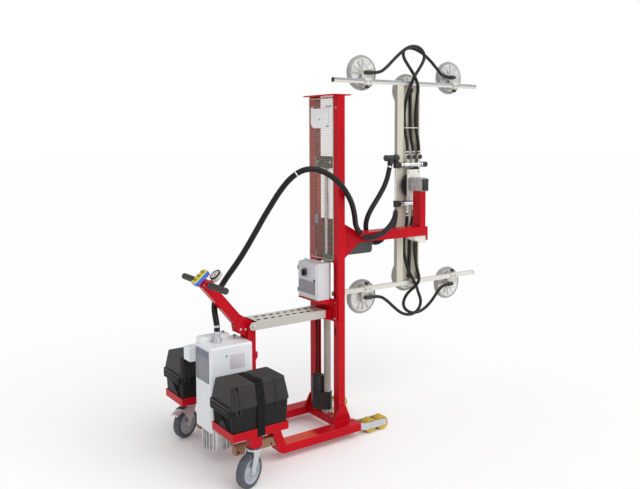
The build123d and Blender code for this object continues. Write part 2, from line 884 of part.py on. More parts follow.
def control_box():
    """Steel box with a raised door, standing on its shelf."""
    depth = box_front - box_back - box_door_t
    middle = Pos(box_back + box_door_t + depth / 2, 0, box_z)
    case = extrude(middle * RectangleRounded(depth, box_w, box_round), box_h)
    rim = box_door_rim
    door = block(
        (box_back, box_back + box_door_t), (-box_w / 2 + rim, box_w / 2 - rim),
        (box_z + rim, box_z + box_h - rim),
    )
    box = case + door
    half = switch_plate_w / 2
    plate_x = (box_back - switch_plate_t, box_back)
    box += block(plate_x, (switch_y - half, switch_y + half), (switch_z - half, switch_z + half))
    inner = box_back - switch_plate_t + switch_shaft_l + slide_gap
    bore = round_bar((plate_x[0], switch_y, switch_z), (inner, switch_y, switch_z), switch_shaft_r + run_gap)
    return box - bore


def signal_lamp():
    """Domed lamp on the box's top."""
    lamp = Cylinder(lamp_r, lamp_h, align=(Align.CENTER, Align.CENTER, Align.MIN))
    lamp = fillet(lamp.edges().group_by(Axis.Z)[-1], lamp_r / 2)
    return Pos(lamp_x, lamp_y, box_z + box_h) * lamp


def switch_knob():
    """Rotary switch: shaft, round skirt and finger bar."""
    face_x = box_back - switch_plate_t - slide_gap
    face = (face_x, switch_y, switch_z)
    knob = round_bar((face_x + switch_shaft_l, switch_y, switch_z), face, switch_shaft_r)
    knob += round_bar(face, (face_x - switch_t, switch_y, switch_z), switch_r)
    bar = block(
        (face_x - switch_t - switch_bar_t, face_x - switch_t),
        (switch_y - switch_bar_w / 2, switch_y + switch_bar_w / 2),
        (switch_z - switch_r, switch_z + switch_r),
    )
    return knob + bar


def actuator_tube():
    """Outer tube of the lift actuator, bored for the rod, and the clevis under its gear case."""
    foot = block(
        (-actuator_base_l / 2, actuator_base_l / 2), (-actuator_base_w / 2, actuator_base_w / 2),
        (leg_top, gear_case_z),
    )
    tube = round_bar((0, 0, gear_case_top), (0, 0, actuator_top), actuator_tube_r)
    floor = gear_case_top + actuator_floor_t
    return [foot, tube - round_bar((0, 0, floor), (0, 0, actuator_top), rod_r + run_gap)]


def actuator_motor():
    """Round gear motor beside the tube, on a gear case that reaches under both."""
    motor = round_bar((motor_x, motor_y, gear_case_top), (motor_x, motor_y, motor_top), motor_r)
    motor = fillet(motor.edges().group_by(Axis.Z)[-1], motor_round)
    rings = Circle(gear_case_r).edges() + (Pos(motor_x, motor_y) * Circle(motor_r)).edges()
    case = extrude(Pos(0, 0, gear_case_z) * make_hull(rings), gear_case_h)
    return motor + case


def perforated_beam():
    """Channel open below, with two staggered rows of square holes and rounded side ends."""
    half = beam_w / 2
    beam = block((post_front, beam_front), (-half, half), (beam_bottom, beam_top))
    nose_r = beam_h / 2
    nose_z = beam_top - nose_r
    nose_x = post_front - beam_nose + nose_r
    beam += block((nose_x, post_front), (-half, half), (beam_bottom, beam_top))
    beam += round_bar((nose_x, -half, nose_z), (nose_x, half, nose_z), nose_r)
    inside = half - beam_wall
    tip = post_front - beam_nose
    beam -= block((tip, beam_front), (-inside, inside), (beam_bottom, beam_top - beam_wall))
    beam -= block((tip, post_front), (-inside, inside), (beam_bottom, beam_top))
    span = (beam_holes - 1) * beam_hole_pitch
    first = (post_front + beam_front - span) / 2
    for index in range(beam_holes):
        for row, shift in ((-1, -beam_hole_pitch / 4), (1, beam_hole_pitch / 4)):
            hole_x = first + index * beam_hole_pitch + shift
            hole_y = row * beam_hole_row
            hole = Pos(hole_x, hole_y, beam_top - beam_wall / 2) * Box(beam_hole, beam_hole, beam_wall)
            beam -= hole
    return beam


def rear_post():
    """Post behind the beam on its foot plate, closed at the top, with a small catch in front."""
    half = post_w / 2
    post = block((post_back, post_front), (-half, half), (post_foot_top, post_top))
    post -= block(
        (post_back + tube_wall, post_front - tube_wall), (-half + tube_wall, half - tube_wall),
        (post_foot_top, post_top - tube_wall),
    )
    foot_y = (-post_foot_half, post_foot_half)
    post += block((post_back, crossbeam_front), foot_y, (crossbeam_top, post_foot_top))
    catch_front = post_front + catch_t
    catch = [
        (post_front, catch_z), (catch_front, catch_z + catch_t), (catch_front, catch_z + catch_h),
        (post_front, catch_z + catch_h),
    ]
    return post + prism_y(catch, (-half, -half + catch_w))


def handle_arm():
    """Sloping arm with its brace on the post's top, and the crossways handlebar."""
    start = Vector(post_back + post_l / 2, 0, arm_foot_z)
    end = Vector(handle_x, 0, handle_z)
    along = (end - start).normalized()
    across = Vector(-along.Z, 0, along.X) * (arm_t / 2)
    corners = [start + across, end + across, end - across, start - across]
    arm = prism_y([(corner.X, corner.Z) for corner in corners], (-arm_w / 2, arm_w / 2))
    brace = [
        (post_front, post_top), (post_front, post_top + arm_brace_front_h),
        (post_back - arm_brace_crest_back, post_top + arm_brace_crest),
        (post_back - arm_brace_reach, post_top + arm_brace_reach_h),
        (post_back - arm_brace_heel, post_top - arm_brace_heel_drop),
        (post_back, post_top - arm_brace_foot_drop), (post_back, post_top),
    ]
    arm += prism_y(brace, (-arm_brace_w / 2, arm_brace_w / 2))
    arm -= block((post_back, post_front), (-post_w / 2, post_w / 2), (crossbeam_top, post_top))
    bar = round_bar((handle_x, -handle_half, handle_z), (handle_x, handle_half, handle_z), handle_bar_r)
    return arm + bar


def handle_grip():
    """Left grip sleeve, closed at its outer end."""
    inner = handle_half - grip_l
    end = handle_half + grip_end
    grip = round_bar((handle_x, inner, handle_z), (handle_x, end, handle_z), grip_r)
    grip = fillet(grip.edges().group_by(Axis.Y)[-1], grip_end)
    bore_end = (handle_x, handle_half, handle_z)
    return grip - round_bar((handle_x, inner, handle_z), bore_end, handle_bar_r + run_gap)


def pendant_place():
    """Frame of the pendant: its face slopes towards the operator."""
    return Pos(pendant_x, pendant_y, pendant_z) * Rot(0, -pendant_tilt, 0)


def key_places():
    """Middle of each rocker key along the pendant."""
    return [(index - 1) * key_pitch for index in range(3)]


def pendant_case(arm):
    """Lower half of the pendant, on the foot that seats it on the arm's end."""
    case = extrude(RectangleRounded(pendant_l, pendant_w, pendant_round), -pendant_case_h)
    case = fillet(case.edges().group_by(Axis.Z)[0], pendant_crown)
    seat = Vector(handle_x - pendant_x, 0, handle_z - pendant_z).rotate(Axis.Y, pendant_tilt)
    foot = block(
        (seat.X - pendant_stand, seat.X + pendant_stand), (-pendant_w / 4, pendant_w / 4),
        (seat.Z, -pendant_case_h / 2),
    )
    seated = pendant_place() * foot - arm
    return pendant_place() * case + seated.solids().sort_by(Axis.Z)[-1]


def pendant_cover():
    """Upper half of the pendant, with a well and a pin bore for each rocker key."""
    cover = extrude(RectangleRounded(pendant_l, pendant_w, pendant_round), pendant_cover_h)
    cover = fillet(cover.edges().group_by(Axis.Z)[-1], pendant_crown)
    pin_z = pendant_cover_h - key_pin_depth
    for place in key_places():
        half_l = key_l / 2 + slide_gap
        half_w = key_w / 2 + key_room
        well = (pendant_cover_h - key_well, pendant_cover_h)
        cover -= block((place - half_l, place + half_l), (-half_w, half_w), well)
        reach = half_l + key_pin_r
        cover -= round_bar((place - reach, 0, pin_z), (place + reach, 0, pin_z), key_pin_r + run_gap)
    return pendant_place() * cover


def rocker_key(place):
    """Rocker key with a rib down to the pin that it tips on."""
    top = pendant_cover_h + key_proud
    pin_z = pendant_cover_h - key_pin_depth
    half_l = key_l / 2
    key = block((place - half_l, place + half_l), (-key_w / 2, key_w / 2), (top - key_t, top))
    key += block((place - half_l, place + half_l), (-key_pin_r, key_pin_r), (pin_z, top - key_t))
    reach = half_l + key_pin_r
    key += round_bar((place - reach, 0, pin_z), (place + reach, 0, pin_z), key_pin_r)
    return pendant_place() * key


def vacuum_gauge():
    """Round gauge facing the operator, on a clamp round the handlebar."""
    place = Pos(gauge_x, gauge_y, gauge_z) * Rot(0, -pendant_tilt, 0)
    body = Cylinder(gauge_r, gauge_t)
    body -= Pos(0, 0, gauge_t / 2) * Cylinder(gauge_r - gauge_rim, gauge_rim)
    gauge = place * body
    half = gauge_clamp_w / 2
    ends = ((handle_x, gauge_y - half, handle_z), (handle_x, gauge_y + half, handle_z))
    clamp = round_bar(*ends, handle_bar_r + gauge_clamp_t)
    tongue = [
        (handle_x, handle_z - gauge_clamp_t), (gauge_x, gauge_z - gauge_t), (gauge_x, gauge_z),
        (handle_x, handle_z + gauge_clamp_t),
    ]
    clamp += prism_y(tongue, (gauge_y - half, gauge_y + half))
    bar_hole = round_bar(*ends, handle_bar_r + run_gap)
    return gauge + (clamp - bar_hole)


def pump_cabinet():
    """Upright pump housing with rounded corners, crown, rear panel, hose nozzle and filter."""
    middle_x = post_back - pump_l / 2
    body = extrude(Pos(middle_x, 0, pump_z) * RectangleRounded(pump_l, pump_w, pump_round), pump_h)
    body = fillet(body.edges().group_by(Axis.Z)[-1], pump_crown)
    top = pump_z + pump_h
    body += block(
        (post_back - pump_l - pump_panel_t, post_back - pump_l + pump_panel_t),
        (-pump_panel_w / 2, pump_panel_w / 2), (pump_panel_z, pump_panel_z + pump_panel_h),
    )
    collar_end = (nozzle_x, 0, top + nozzle_collar_h)
    body += round_bar((nozzle_x, 0, top - nozzle_collar_h), collar_end, nozzle_collar_r)
    body += round_bar((nozzle_x, 0, top), (nozzle_x, 0, nozzle_top), nozzle_r)
    filter_x = post_back - pump_l - filter_proud + filter_l / 2
    canister = Box(filter_l, filter_w, filter_h)
    canister = fillet(canister.edges().filter_by(Axis.Y), filter_round)
    return body + Pos(filter_x, pump_w / 2 + filter_w / 2, filter_z) * canister


def pump_motor():
    """Motor below the cabinet: round core with upright cooling fins."""
    low = pump_z - pump_motor_h
    motor = round_bar((0, 0, low), (0, 0, pump_z), pump_motor_core_r)
    half = pump_motor_fin_t / 2
    fin = block((pump_motor_core_r - pump_motor_fin_t, pump_motor_r), (-half, half), (low, pump_z))
    motor += PolarLocations(0, pump_motor_fins) * fin
    return Pos(pump_motor_x, 0, 0) * motor


def hose_clip(route, carrier_y):
    """Clip round the hose at a route's start, with a foot on the face that carries it."""
    point = Vector(*route[0])
    tangent = (Vector(*route[1]) - point).normalized()
    reach = tangent * (clip_w / 2)
    ring = round_bar(tuple(point - reach), tuple(point + reach), main_hose_d / 2 + clip_wall)
    half = clip_w / 2
    foot_z = (point.Z - half, point.Z + half)
    foot = block((point.X - half, point.X + half), sorted((point.Y, carrier_y)), foot_z)
    bore = tangent * main_hose_d
    return (ring + foot) - round_bar(tuple(point - bore), tuple(point + bore), main_hose_d / 2 + run_gap)


def carriage_frame():
    """Side bars in the mast, front plate, gussets and the square nose that bears the boom."""
    half_l = side_bar_l / 2
    front = column_d / 2 + front_gap
    top = crosshead_z + crosshead_h
    side_y = (carriage_half - side_bar_t, carriage_half)
    side = block((-half_l, half_l), side_y, (carriage_bottom, top))
    side += block((half_l, front), side_y, (carriage_bottom, carriage_top))
    frame = side + mirror(side, Plane.XZ)
    plate_front = front + front_plate_t
    frame += block((front, plate_front), (-carriage_half, carriage_half), (carriage_bottom, carriage_top))
    outline = [
        (plate_front, carriage_bottom), (plate_front + gusset_low_l, carriage_bottom),
        (plate_front + gusset_low_reach, boom_z), (plate_front + gusset_top_reach, boom_top),
        (plate_front + gusset_top_l, carriage_top), (plate_front, carriage_top),
    ]
    frame += prism_y(outline, (boom_right, boom_right + gusset_t))
    frame += prism_y(outline, (boom_left - gusset_t, boom_left))
    frame += square_tube((plate_front, nose_end), (boom_right, boom_left), (boom_z, boom_top), tube_wall, "x")
    for plate_x in (nose_end - nose_plate_t, nose_end - tilt_shaft_l):
        frame += block((plate_x, plate_x + nose_plate_t), (boom_right, boom_left), (boom_z, boom_top))
    frame += hose_clip(tilt_hose_route, boom_right)
    bore_start = (nose_end - tilt_shaft_l, arm_y, tilt_z)
    return frame - round_bar(bore_start, (nose_end, arm_y, tilt_z), tilt_shaft_r + run_gap)


def crosshead():
    """Block between the side bars, on top of the actuator's rod."""
    half = carriage_half - side_bar_t
    head = block((-crosshead_l / 2, crosshead_l / 2), (-half, half), (crosshead_z, crosshead_z + crosshead_h))
    slot = crosshead_h / 3
    for side in (-1, 1):
        place = side * half / 2
        head -= block(
            (-crosshead_l / 2, crosshead_l / 2), (place - slot / 2, place + slot / 2),
            (crosshead_z + slot, crosshead_z + 2 * slot),
        )
    return head


def guide_pads():
    """Sliding pads that run inside the mast columns, two on each side."""
    half = column_d / 2 - column_wall - slide_gap
    reach = column_out - column_wall - slide_gap
    pads = []
    for low in (carriage_bottom + pad_end, crosshead_z + (crosshead_h - pad_h) / 2):
        pads += both_sides(block((-half, half), (carriage_half, reach), (low, low + pad_h)))
    return pads


def tilt_motor():
    """Covered tilt drive under the nose, rounded at its lower front edge."""
    half = tilt_motor_w / 2
    low = boom_z - tilt_motor_h
    cover = block((tilt_motor_back, tilt_motor_front), (arm_y - half, arm_y + half), (low, boom_z))
    edges = cover.edges().filter_by(Axis.Y).group_by(Axis.X)[-1].sort_by(Axis.Z)[:1]
    cover = fillet(edges, tilt_motor_round)
    return fillet(cover.edges().filter_by(Axis.Z).group_by(Axis.X)[-1], tilt_motor_round / 2)


def boom_arm():
    """Boom with its root plate and pivot shaft, end plate and upright post."""
    root = root_back + root_plate_t
    arm = block((root_back, root), (boom_right, boom_left), (boom_z, boom_top))
    arm += round_bar((nose_end - tilt_shaft_l, arm_y, tilt_z), (root_back, arm_y, tilt_z), tilt_shaft_r)
    arm += square_tube((root, boom_end), (boom_right, boom_left), (boom_z, boom_top), tube_wall, "x")
    end_plate_z = (boom_z - end_plate_drop, boom_top)
    arm += block((boom_end, boom_end + end_plate_t), (boom_right, boom_left), end_plate_z)
    post_x = (arm_post_x, arm_post_x + arm_post_l)
    post_y = (boom_right, boom_right + arm_post_w)
    post = square_tube(post_x, post_y, (boom_top, arm_post_top), tube_wall, "z")
    cap = block(post_x, post_y, (arm_post_top - tube_wall, arm_post_top))
    arm += [post, cap]
    return arm + hose_clip(turn_hose_route, boom_left)


def arm_bracket():
    """Wedge plate under the boom's end."""
    low = boom_z - wedge_depth
    outline = [
        (wedge_back, boom_z), (wedge_back + wedge_heel / 2, boom_z - wedge_heel),
        (boom_end - wedge_heel, low), (boom_end, low), (boom_end, boom_z),
    ]
    return prism_y(outline, (arm_y - wedge_w / 2, arm_y + wedge_w / 2))


def rotation_gearbox():
    """Gearbox on the post with its end cap, bored for the head's shaft."""
    x = (gearbox_back, gearbox_back + gearbox_l)
    case = block(x, (gearbox_y, gearbox_end), (gearbox_z, gearbox_z + gearbox_h))
    case = fillet(case.edges().filter_by(Axis.Y), gearbox_round)
    inset = gearbox_cap_inset
    cap = block(
        (x[0] + inset, x[1] - inset), (gearbox_y - gearbox_cap_t, gearbox_y),
        (gearbox_z + inset, gearbox_z + gearbox_h - inset),
    )
    cap = fillet(cap.edges().group_by(Axis.Y)[0], gearbox_round / 2)
    bore_start = (turn_x, disc_y - turn_shaft_l, turn_z)
    return (case + cap) - round_bar(bore_start, (turn_x, gearbox_end, turn_z), turn_shaft_r + run_gap)


def bearing_plate():
    """Upright plate on the gearbox's output side, bored for the head's shaft."""
    x = (turn_x - bearing_plate_back, turn_x + bearing_plate_front)
    y = (gearbox_end, gearbox_end + bearing_plate_t)
    low = turn_z - bearing_plate_h / 2
    plate = block(x, y, (low, low + bearing_plate_h))
    plate = fillet(plate.edges().filter_by(Axis.Y), gearbox_round)
    return plate - round_bar((turn_x, y[0], turn_z), (turn_x, y[1], turn_z), turn_shaft_r + run_gap)


def swivel_disc():
    """Shaft, disc and hub that carry the main beam."""
    web_y = spine_front - spine_wall
    disc = round_bar((turn_x, disc_y - turn_shaft_l, turn_z), (turn_x, disc_y, turn_z), turn_shaft_r)
    disc += round_bar((turn_x, disc_y, turn_z), (turn_x, disc_y + disc_t, turn_z), disc_r)
    return disc + round_bar((turn_x, disc_y, turn_z), (turn_x, web_y, turn_z), disc_hub_r)


def main_beam():
    """Shallow lipped channel, open to the back, with its web towards the panel."""
    wall = spine_wall
    left = turn_x - spine_back
    right = turn_x + spine_ahead
    left_lip = left + spine_lip_back
    right_lip = right - spine_lip_ahead
    outline = [
        (left, spine_y), (left_lip, spine_y), (left_lip, spine_y + wall), (left + wall, spine_y + wall),
        (left + wall, spine_front - wall), (right - wall, spine_front - wall), (right - wall, spine_y + wall),
        (right_lip, spine_y + wall), (right_lip, spine_y), (right, spine_y), (right, spine_front),
        (left, spine_front),
    ]
    low = bar_low_z + bar_size / 2 + bar_gap
    return prism_z(outline, (low, bar_top_z - bar_size / 2 - bar_gap))


def crossbar(level):
    """Square tube across the head."""
    half = bar_size / 2
    y = (spine_y, spine_front)
    x = (turn_x + bar_left, turn_x + bar_right)
    return square_tube(x, y, (level - half, level + half), bar_wall, "x")


def corner_places():
    """Middle of each corner cup with the level of the bar that carries it."""
    levels = ((cup_top_z, bar_top_z), (cup_low_z, bar_low_z))
    return [(turn_x + shift, cup_z, bar_z) for cup_z, bar_z in levels for shift in (cup_left, cup_right)]


def cup_places():
    """Middle of every cup."""
    corners = [(place_x, cup_z) for place_x, cup_z, bar_z in corner_places()]
    return corners + [(turn_x + cup_mid, cup_mid_top_z), (turn_x + cup_mid, cup_mid_low_z)]


def cup_mount(place_x, cup_z, bar_z):
    """Clamp round the crossbar, with a plate that reaches to the cup's hub."""
    half_bar = bar_size / 2
    half = mount_clamp_w / 2
    wall = mount_clamp_wall
    x = (place_x - half, place_x + half)
    rise = half_bar + mount_clamp_rise
    clamp = block(x, (spine_y - wall, spine_front), (bar_z - rise, bar_z + rise))
    clamp -= block(x, (spine_y, spine_front), (bar_z - half_bar, bar_z + half_bar))
    low = min(cup_z, bar_z - rise + mount_plate_w / 2) - mount_plate_w / 2
    high = max(cup_z, bar_z + rise - mount_plate_w / 2) + mount_plate_w / 2
    plate = block(x, (spine_front, spine_front + mount_plate_t), (low, high))
    return clamp + fillet(plate.edges().filter_by(Axis.Y), mount_plate_w / 8)


def middle_mount(bar_z, cup_z, side):
    """Plate that joins a crossbar to the main beam's end and carries the middle cup."""
    half = mount_plate_w / 2
    x = (turn_x - splice_w / 2, turn_x + max(splice_w / 2, cup_mid + half))
    reach = sorted((bar_z + side * bar_size / 2, cup_z - side * half))
    plate = block(x, (spine_front, spine_front + mount_plate_t), reach)
    return fillet(plate.edges().filter_by(Axis.Y), mount_plate_w / 8)


def clamp_knob(place_x, bar_z, side):
    """Round knob with its stem, on the clamp's inner face."""
    face = bar_z + side * (bar_size / 2 + mount_clamp_rise)
    y = spine_y + spine_d / 2
    knob = round_bar((place_x, y, face), (place_x, y, face + side * knob_stem_h), knob_stem_r)
    start = face + side * knob_stem_h
    return knob + round_bar((place_x, y, start), (place_x, y, start + side * knob_h), knob_r)


def cup_plate(place_x, cup_z):
    """Cast cup plate with a hub and radial ribs on its back."""
    hub_y = spine_front + mount_plate_t
    face = cup_plate_y + cup_plate_t
    outline = [
        (0, hub_y), (cup_hub_r, hub_y), (cup_hub_r, cup_plate_y), (cup_plate_r, cup_plate_y),
        (cup_plate_r, face), (0, face),
    ]
    plate = turned_y(outline, (0, 0, 0))
    half = cup_rib_t / 2
    rib = block((0, cup_plate_r - cup_rib_h), (cup_plate_y - cup_rib_h, cup_plate_y), (-half, half))
    for index in range(cup_ribs):
        plate += Rot(0, index * 360 / cup_ribs, 0) * rib
    return Pos(place_x, 0, cup_z) * plate


def cup_seal(place_x, cup_z):
    """Rubber ring under the cup plate's edge, with a flared lip that meets the panel."""
    face = cup_plate_y + cup_plate_t
    collar_r = cup_plate_r + slide_gap
    collar_y = cup_plate_y - slide_gap
    outline = [
        (cup_seal_in, face), (collar_r, face), (collar_r, collar_y), (cup_r - cup_plate_t, collar_y),
        (cup_r, face + cup_seal_h / 3), (cup_lip_out, lip_y), (cup_lip_in, lip_y),
        (cup_plate_r - cup_plate_t, face + cup_seal_h / 2), (cup_seal_in, face + cup_plate_t),
    ]
    return turned_y(outline, (place_x, 0, cup_z))


def manifold(level, port_z):
    """Manifold tube at one level, with its three ports."""
    end = manifold_back + manifold_l
    tube = round_bar((manifold_back, manifold_y, level), (end, manifold_y, level), manifold_r)
    for lane in (-1, 0, 1):
        lane_x = lane_mid + lane * lane_pitch
        tube += round_bar((lane_x, manifold_y, level), (lane_x, manifold_y, port_z), port_r)
    return tube


def riser_pipe():
    """Pipe between the couplings of the two manifolds."""
    low = (riser_pipe_x, manifold_y, manifold_low_z + coupling_h / 2)
    high = (riser_pipe_x, manifold_y, manifold_top_z - coupling_h / 2)
    return round_bar(low, high, riser_pipe_r)


def manifold_cap():
    """Black plug that closes the upper manifold's far end."""
    end = manifold_back + manifold_l
    tip = (end + manifold_cap_l, manifold_y, manifold_top_z)
    return round_bar((end, manifold_y, manifold_top_z), tip, manifold_r)


def inlet_elbow():
    """Square black elbow that takes the main hose, with the coupling to the upper manifold."""
    half = elbow_w / 2
    y = (manifold_y - half, manifold_y + half)
    body = block((elbow_back, riser_pipe_x + coupling_l / 2), y, (elbow_z, elbow_z + elbow_h))
    body = fillet(body.edges().filter_by(Axis.Y), elbow_round)
    low = manifold_top_z - coupling_h / 2
    coupling = block((riser_pipe_x - coupling_l / 2, manifold_back), y, (low, elbow_z + elbow_round))
    end = Vector(*turn_hose_route[-1])
    along = (end - Vector(*turn_hose_route[-2])).normalized()
    barb = round_bar(tuple(end), tuple(end + along * hose_barb_l), main_hose_d / 2 - clip_wall)
    return body + coupling + barb


def lower_elbow():
    """Black elbow from the pipe to the lower manifold."""
    half = elbow_w / 2
    low = manifold_low_z - coupling_h / 2
    y = (manifold_y - half, manifold_y + half)
    elbow = block((riser_pipe_x - coupling_l / 2, manifold_back), y, (low, low + coupling_h))
    return fillet(elbow.edges().filter_by(Axis.Y), elbow_round)


def valves():
    """Black valve bodies round the upper ports."""
    half = valve_l / 2
    bodies = []
    for lane in (-1, 0, 1):
        lane_x = lane_mid + lane * lane_pitch
        body = round_bar((lane_x, manifold_y - half, valve_z), (lane_x, manifold_y + half, valve_z), valve_r)
        port = round_bar((lane_x, manifold_y, manifold_top_z), (lane_x, manifold_y, port_top_z), port_r)
        bodies.append(body - port)
    return bodies


def cup_elbow(place_x, cup_z, side):
    """Black elbow on a corner cup's mount plate, pointing towards the main beam."""
    elbow = round_bar((place_x, spine_front, cup_z), (place_x, cup_elbow_y, cup_z), cup_elbow_r)
    elbow += Pos(place_x, cup_elbow_y, cup_z) * Sphere(cup_elbow_r)
    end = (place_x + side * cup_elbow_reach, cup_elbow_y, cup_z)
    return elbow + round_bar((place_x, cup_elbow_y, cup_z), end, cup_elbow_r)


def middle_feed(port_z, elbow_side, cup_z):
    """Straight hose in the main beam's channel to a middle cup, with its elbow on the web."""
    web = spine_front - spine_wall
    half = mid_elbow_w / 2
    start = cup_z - elbow_side * mid_elbow_h / 2
    end = cup_z + elbow_side * mid_elbow_h / 2
    elbow = block((lane_mid - half, lane_mid + half), (spine_y, web), sorted((start, end)))
    lane_y = web - cup_hose_d / 2 - slide_gap
    bend = 2 * (lane_y - manifold_y)
    route = [
        (lane_mid, manifold_y, port_z), (lane_mid, manifold_y, port_z + elbow_side * bend / 2),
        (lane_mid, lane_y, port_z + elbow_side * 2 * bend), (lane_mid, lane_y, start),
    ]
    return [elbow, hose("middle cup hose", route, cup_hose_d)]


frame_solid = chassis_frame()
arm_solid = handle_arm()
nodes = {
    "chassis_frame": frame_solid,
    "battery_trays": both_sides(battery_tray()),
    "rear_post": rear_post(),
    "mast_columns": both_sides(mast_column()),
    "mast_top_plate": mast_top_plate(),
    "mast_brackets": mast_brackets(),
    "mesh_guard": [mesh_guard(), hung_plate()],
    "control_box": [control_box(), signal_lamp()],
    "actuator_tube": actuator_tube(),
    "actuator_motor": actuator_motor(),
    "actuator_lead": hose("actuator lead", lead_route, lead_d),
    "perforated_beam": perforated_beam(),
    "handle_arm": arm_solid,
    "handle_grips": both_sides(handle_grip()),
    "pendant_case": [pendant_case(arm_solid), pendant_cover()],
    "vacuum_gauge": vacuum_gauge(),
    "pump_cabinet": pump_cabinet(),
    "pump_motor": pump_motor(),
    "battery_boxes": both_sides(battery_box()),
    "battery_lids": both_sides(battery_lid()),
    "battery_straps": both_sides(battery_strap()),
    "ballast_bars": both_sides(ballast_bar(frame_solid)),
    "roller_brackets": both_sides(roller_bracket()),
    "carriage_frame": carriage_frame(),
    "crosshead": crosshead(),
    "guide_pads": guide_pads(),
    "actuator_rod": round_bar((0, 0, rod_bottom), (0, 0, crosshead_z), rod_r),
    "tilt_motor": tilt_motor(),
    "boom_arm": boom_arm(),
    "arm_bracket": [arm_bracket(), bearing_plate()],
    "rotation_gearbox": rotation_gearbox(),
    "swivel_disc": swivel_disc(),
    "main_beam": main_beam(),
    "crossbars": [crossbar(bar_top_z), crossbar(bar_low_z)],
    "cup_mounts": [cup_mount(*place) for place in corner_places()]
    + [middle_mount(bar_top_z, cup_mid_top_z, 1), middle_mount(bar_low_z, cup_mid_low_z, -1)],
    "cup_plates": [cup_plate(*place) for place in cup_places()],
    "cup_seals": [cup_seal(*place) for place in cup_places()],
    "clamp_knobs": [
        clamp_knob(turn_x + shift, level, side)
        for level, side in ((bar_top_z, -1), (bar_low_z, 1))
        for shift in (cup_left, cup_right)
    ],
    "manifolds": [manifold(manifold_top_z, port_top_z), manifold(manifold_low_z, port_low_z), riser_pipe()],
    "vacuum_pipework": [inlet_elbow(), lower_elbow(), manifold_cap()] + valves()
    + [cup_elbow(turn_x + cup_left, level, 1) for level in (cup_top_z, cup_low_z)]
    + [cup_elbow(turn_x + cup_right, level, -1) for level in (cup_top_z, cup_low_z)]
    + middle_feed(port_top_z, 1, cup_mid_top_z) + middle_feed(port_low_z, -1, cup_mid_low_z),
    "main_hose_lift": hose("main hose, pump to carriage", lift_hose_route, main_hose_d),
    "main_hose_tilt": hose("main hose, carriage to boom", tilt_hose_route, main_hose_d),
    "main_hose_turn": hose("main hose, boom to head", turn_hose_route, main_hose_d),
    "cup_hose_top_left": hose("top left cup hose", top_left_route, cup_hose_d),
    "cup_hose_top_right": hose("top right cup hose", top_right_route, cup_hose_d),
    "cup_hose_low_left": hose("low left cup hose", low_left_route, cup_hose_d),
    "cup_hose_low_right": hose("low right cup hose", low_right_route, cup_hose_d),
    "castor_fork_left": castor_fork(1),
    "castor_fork_right": castor_fork(-1),
    "castor_wheel_left": castor_wheel(1),
    "castor_wheel_right": castor_wheel(-1),
    "brake_pedal": brake_pedal(),
    "switch_knob": switch_knob(),
}
for name, place in zip(("lift_key", "tilt_key", "turn_key"), key_places()):
    nodes[name] = rocker_key(place)
for side_name, side in (("left", 1), ("right", -1)):
    for row_name, row_x in (("rear", roller_x), ("front", roller_x + roller_pitch)):
        nodes[f"load_roller_{side_name}_{row_name}"] = load_roller(row_x, side)

# The origin lies on the floor, under the middle of all that is not a hose.
solids = {}
for name, pieces in nodes.items():
    group = pieces if isinstance(pieces, list) else [pieces]
    solids[name] = [solid for piece in group for solid in piece.solids()]
bodied = [solid for name in nodes if "hose" not in name for solid in solids[name]]
middle = Compound(children=bodied).bounding_box().center()
origin = Pos(-middle.X, -middle.Y, 0)

os.makedirs("parts", exist_ok=True)
for name, group in solids.items():
    export_step(origin * Compound(children=group), f"parts/{name}.step")
print(len(nodes), "nodes, origin shift", round(origin.position.X, 3), round(origin.position.Y, 3))
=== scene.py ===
"""Panel tilting trolley with a battery vacuum lifter: the looks of each piece, in metres."""
import bmesh
import bpy
import json
from math import cos, pi, radians, sin
from mathutils import Matrix, Vector

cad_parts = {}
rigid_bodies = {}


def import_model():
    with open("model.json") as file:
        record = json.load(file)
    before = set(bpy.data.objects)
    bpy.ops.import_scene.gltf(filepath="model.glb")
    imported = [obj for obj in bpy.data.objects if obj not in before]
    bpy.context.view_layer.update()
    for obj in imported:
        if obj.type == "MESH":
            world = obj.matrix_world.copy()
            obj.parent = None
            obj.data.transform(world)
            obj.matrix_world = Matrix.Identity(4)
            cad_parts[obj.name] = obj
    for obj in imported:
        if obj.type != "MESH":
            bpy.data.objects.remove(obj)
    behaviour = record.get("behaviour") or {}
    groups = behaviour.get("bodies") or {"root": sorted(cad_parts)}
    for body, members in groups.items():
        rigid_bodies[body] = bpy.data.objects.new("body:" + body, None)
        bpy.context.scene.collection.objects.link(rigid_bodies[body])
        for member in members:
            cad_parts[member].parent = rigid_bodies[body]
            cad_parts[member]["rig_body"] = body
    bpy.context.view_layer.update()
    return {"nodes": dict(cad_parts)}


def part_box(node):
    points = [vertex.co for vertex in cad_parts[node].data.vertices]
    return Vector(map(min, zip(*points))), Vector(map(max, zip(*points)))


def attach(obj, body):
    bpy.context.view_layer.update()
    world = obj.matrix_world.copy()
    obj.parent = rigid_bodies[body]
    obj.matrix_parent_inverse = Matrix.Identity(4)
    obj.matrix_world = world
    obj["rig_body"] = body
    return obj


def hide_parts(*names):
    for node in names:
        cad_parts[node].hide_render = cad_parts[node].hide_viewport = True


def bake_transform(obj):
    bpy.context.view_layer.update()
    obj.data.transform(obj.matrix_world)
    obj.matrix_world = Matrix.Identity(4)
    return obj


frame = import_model()

# Studio: a pale seamless floor under an even white sky, with a broad soft light from the right,
# a weaker one from the left, and a camera at eye height behind the trolley's right-hand castor.
scene = bpy.context.scene
scene.view_settings.view_transform = "Standard"
mast_low, mast_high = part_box("mast_columns")
mast_foot = Vector(((mast_low.x + mast_high.x) / 2, (mast_low.y + mast_high.y) / 2, 0))


def spot(x, y, z):
    """Place measured from the mast's foot on the floor."""
    return mast_foot + Vector((x, y, z))


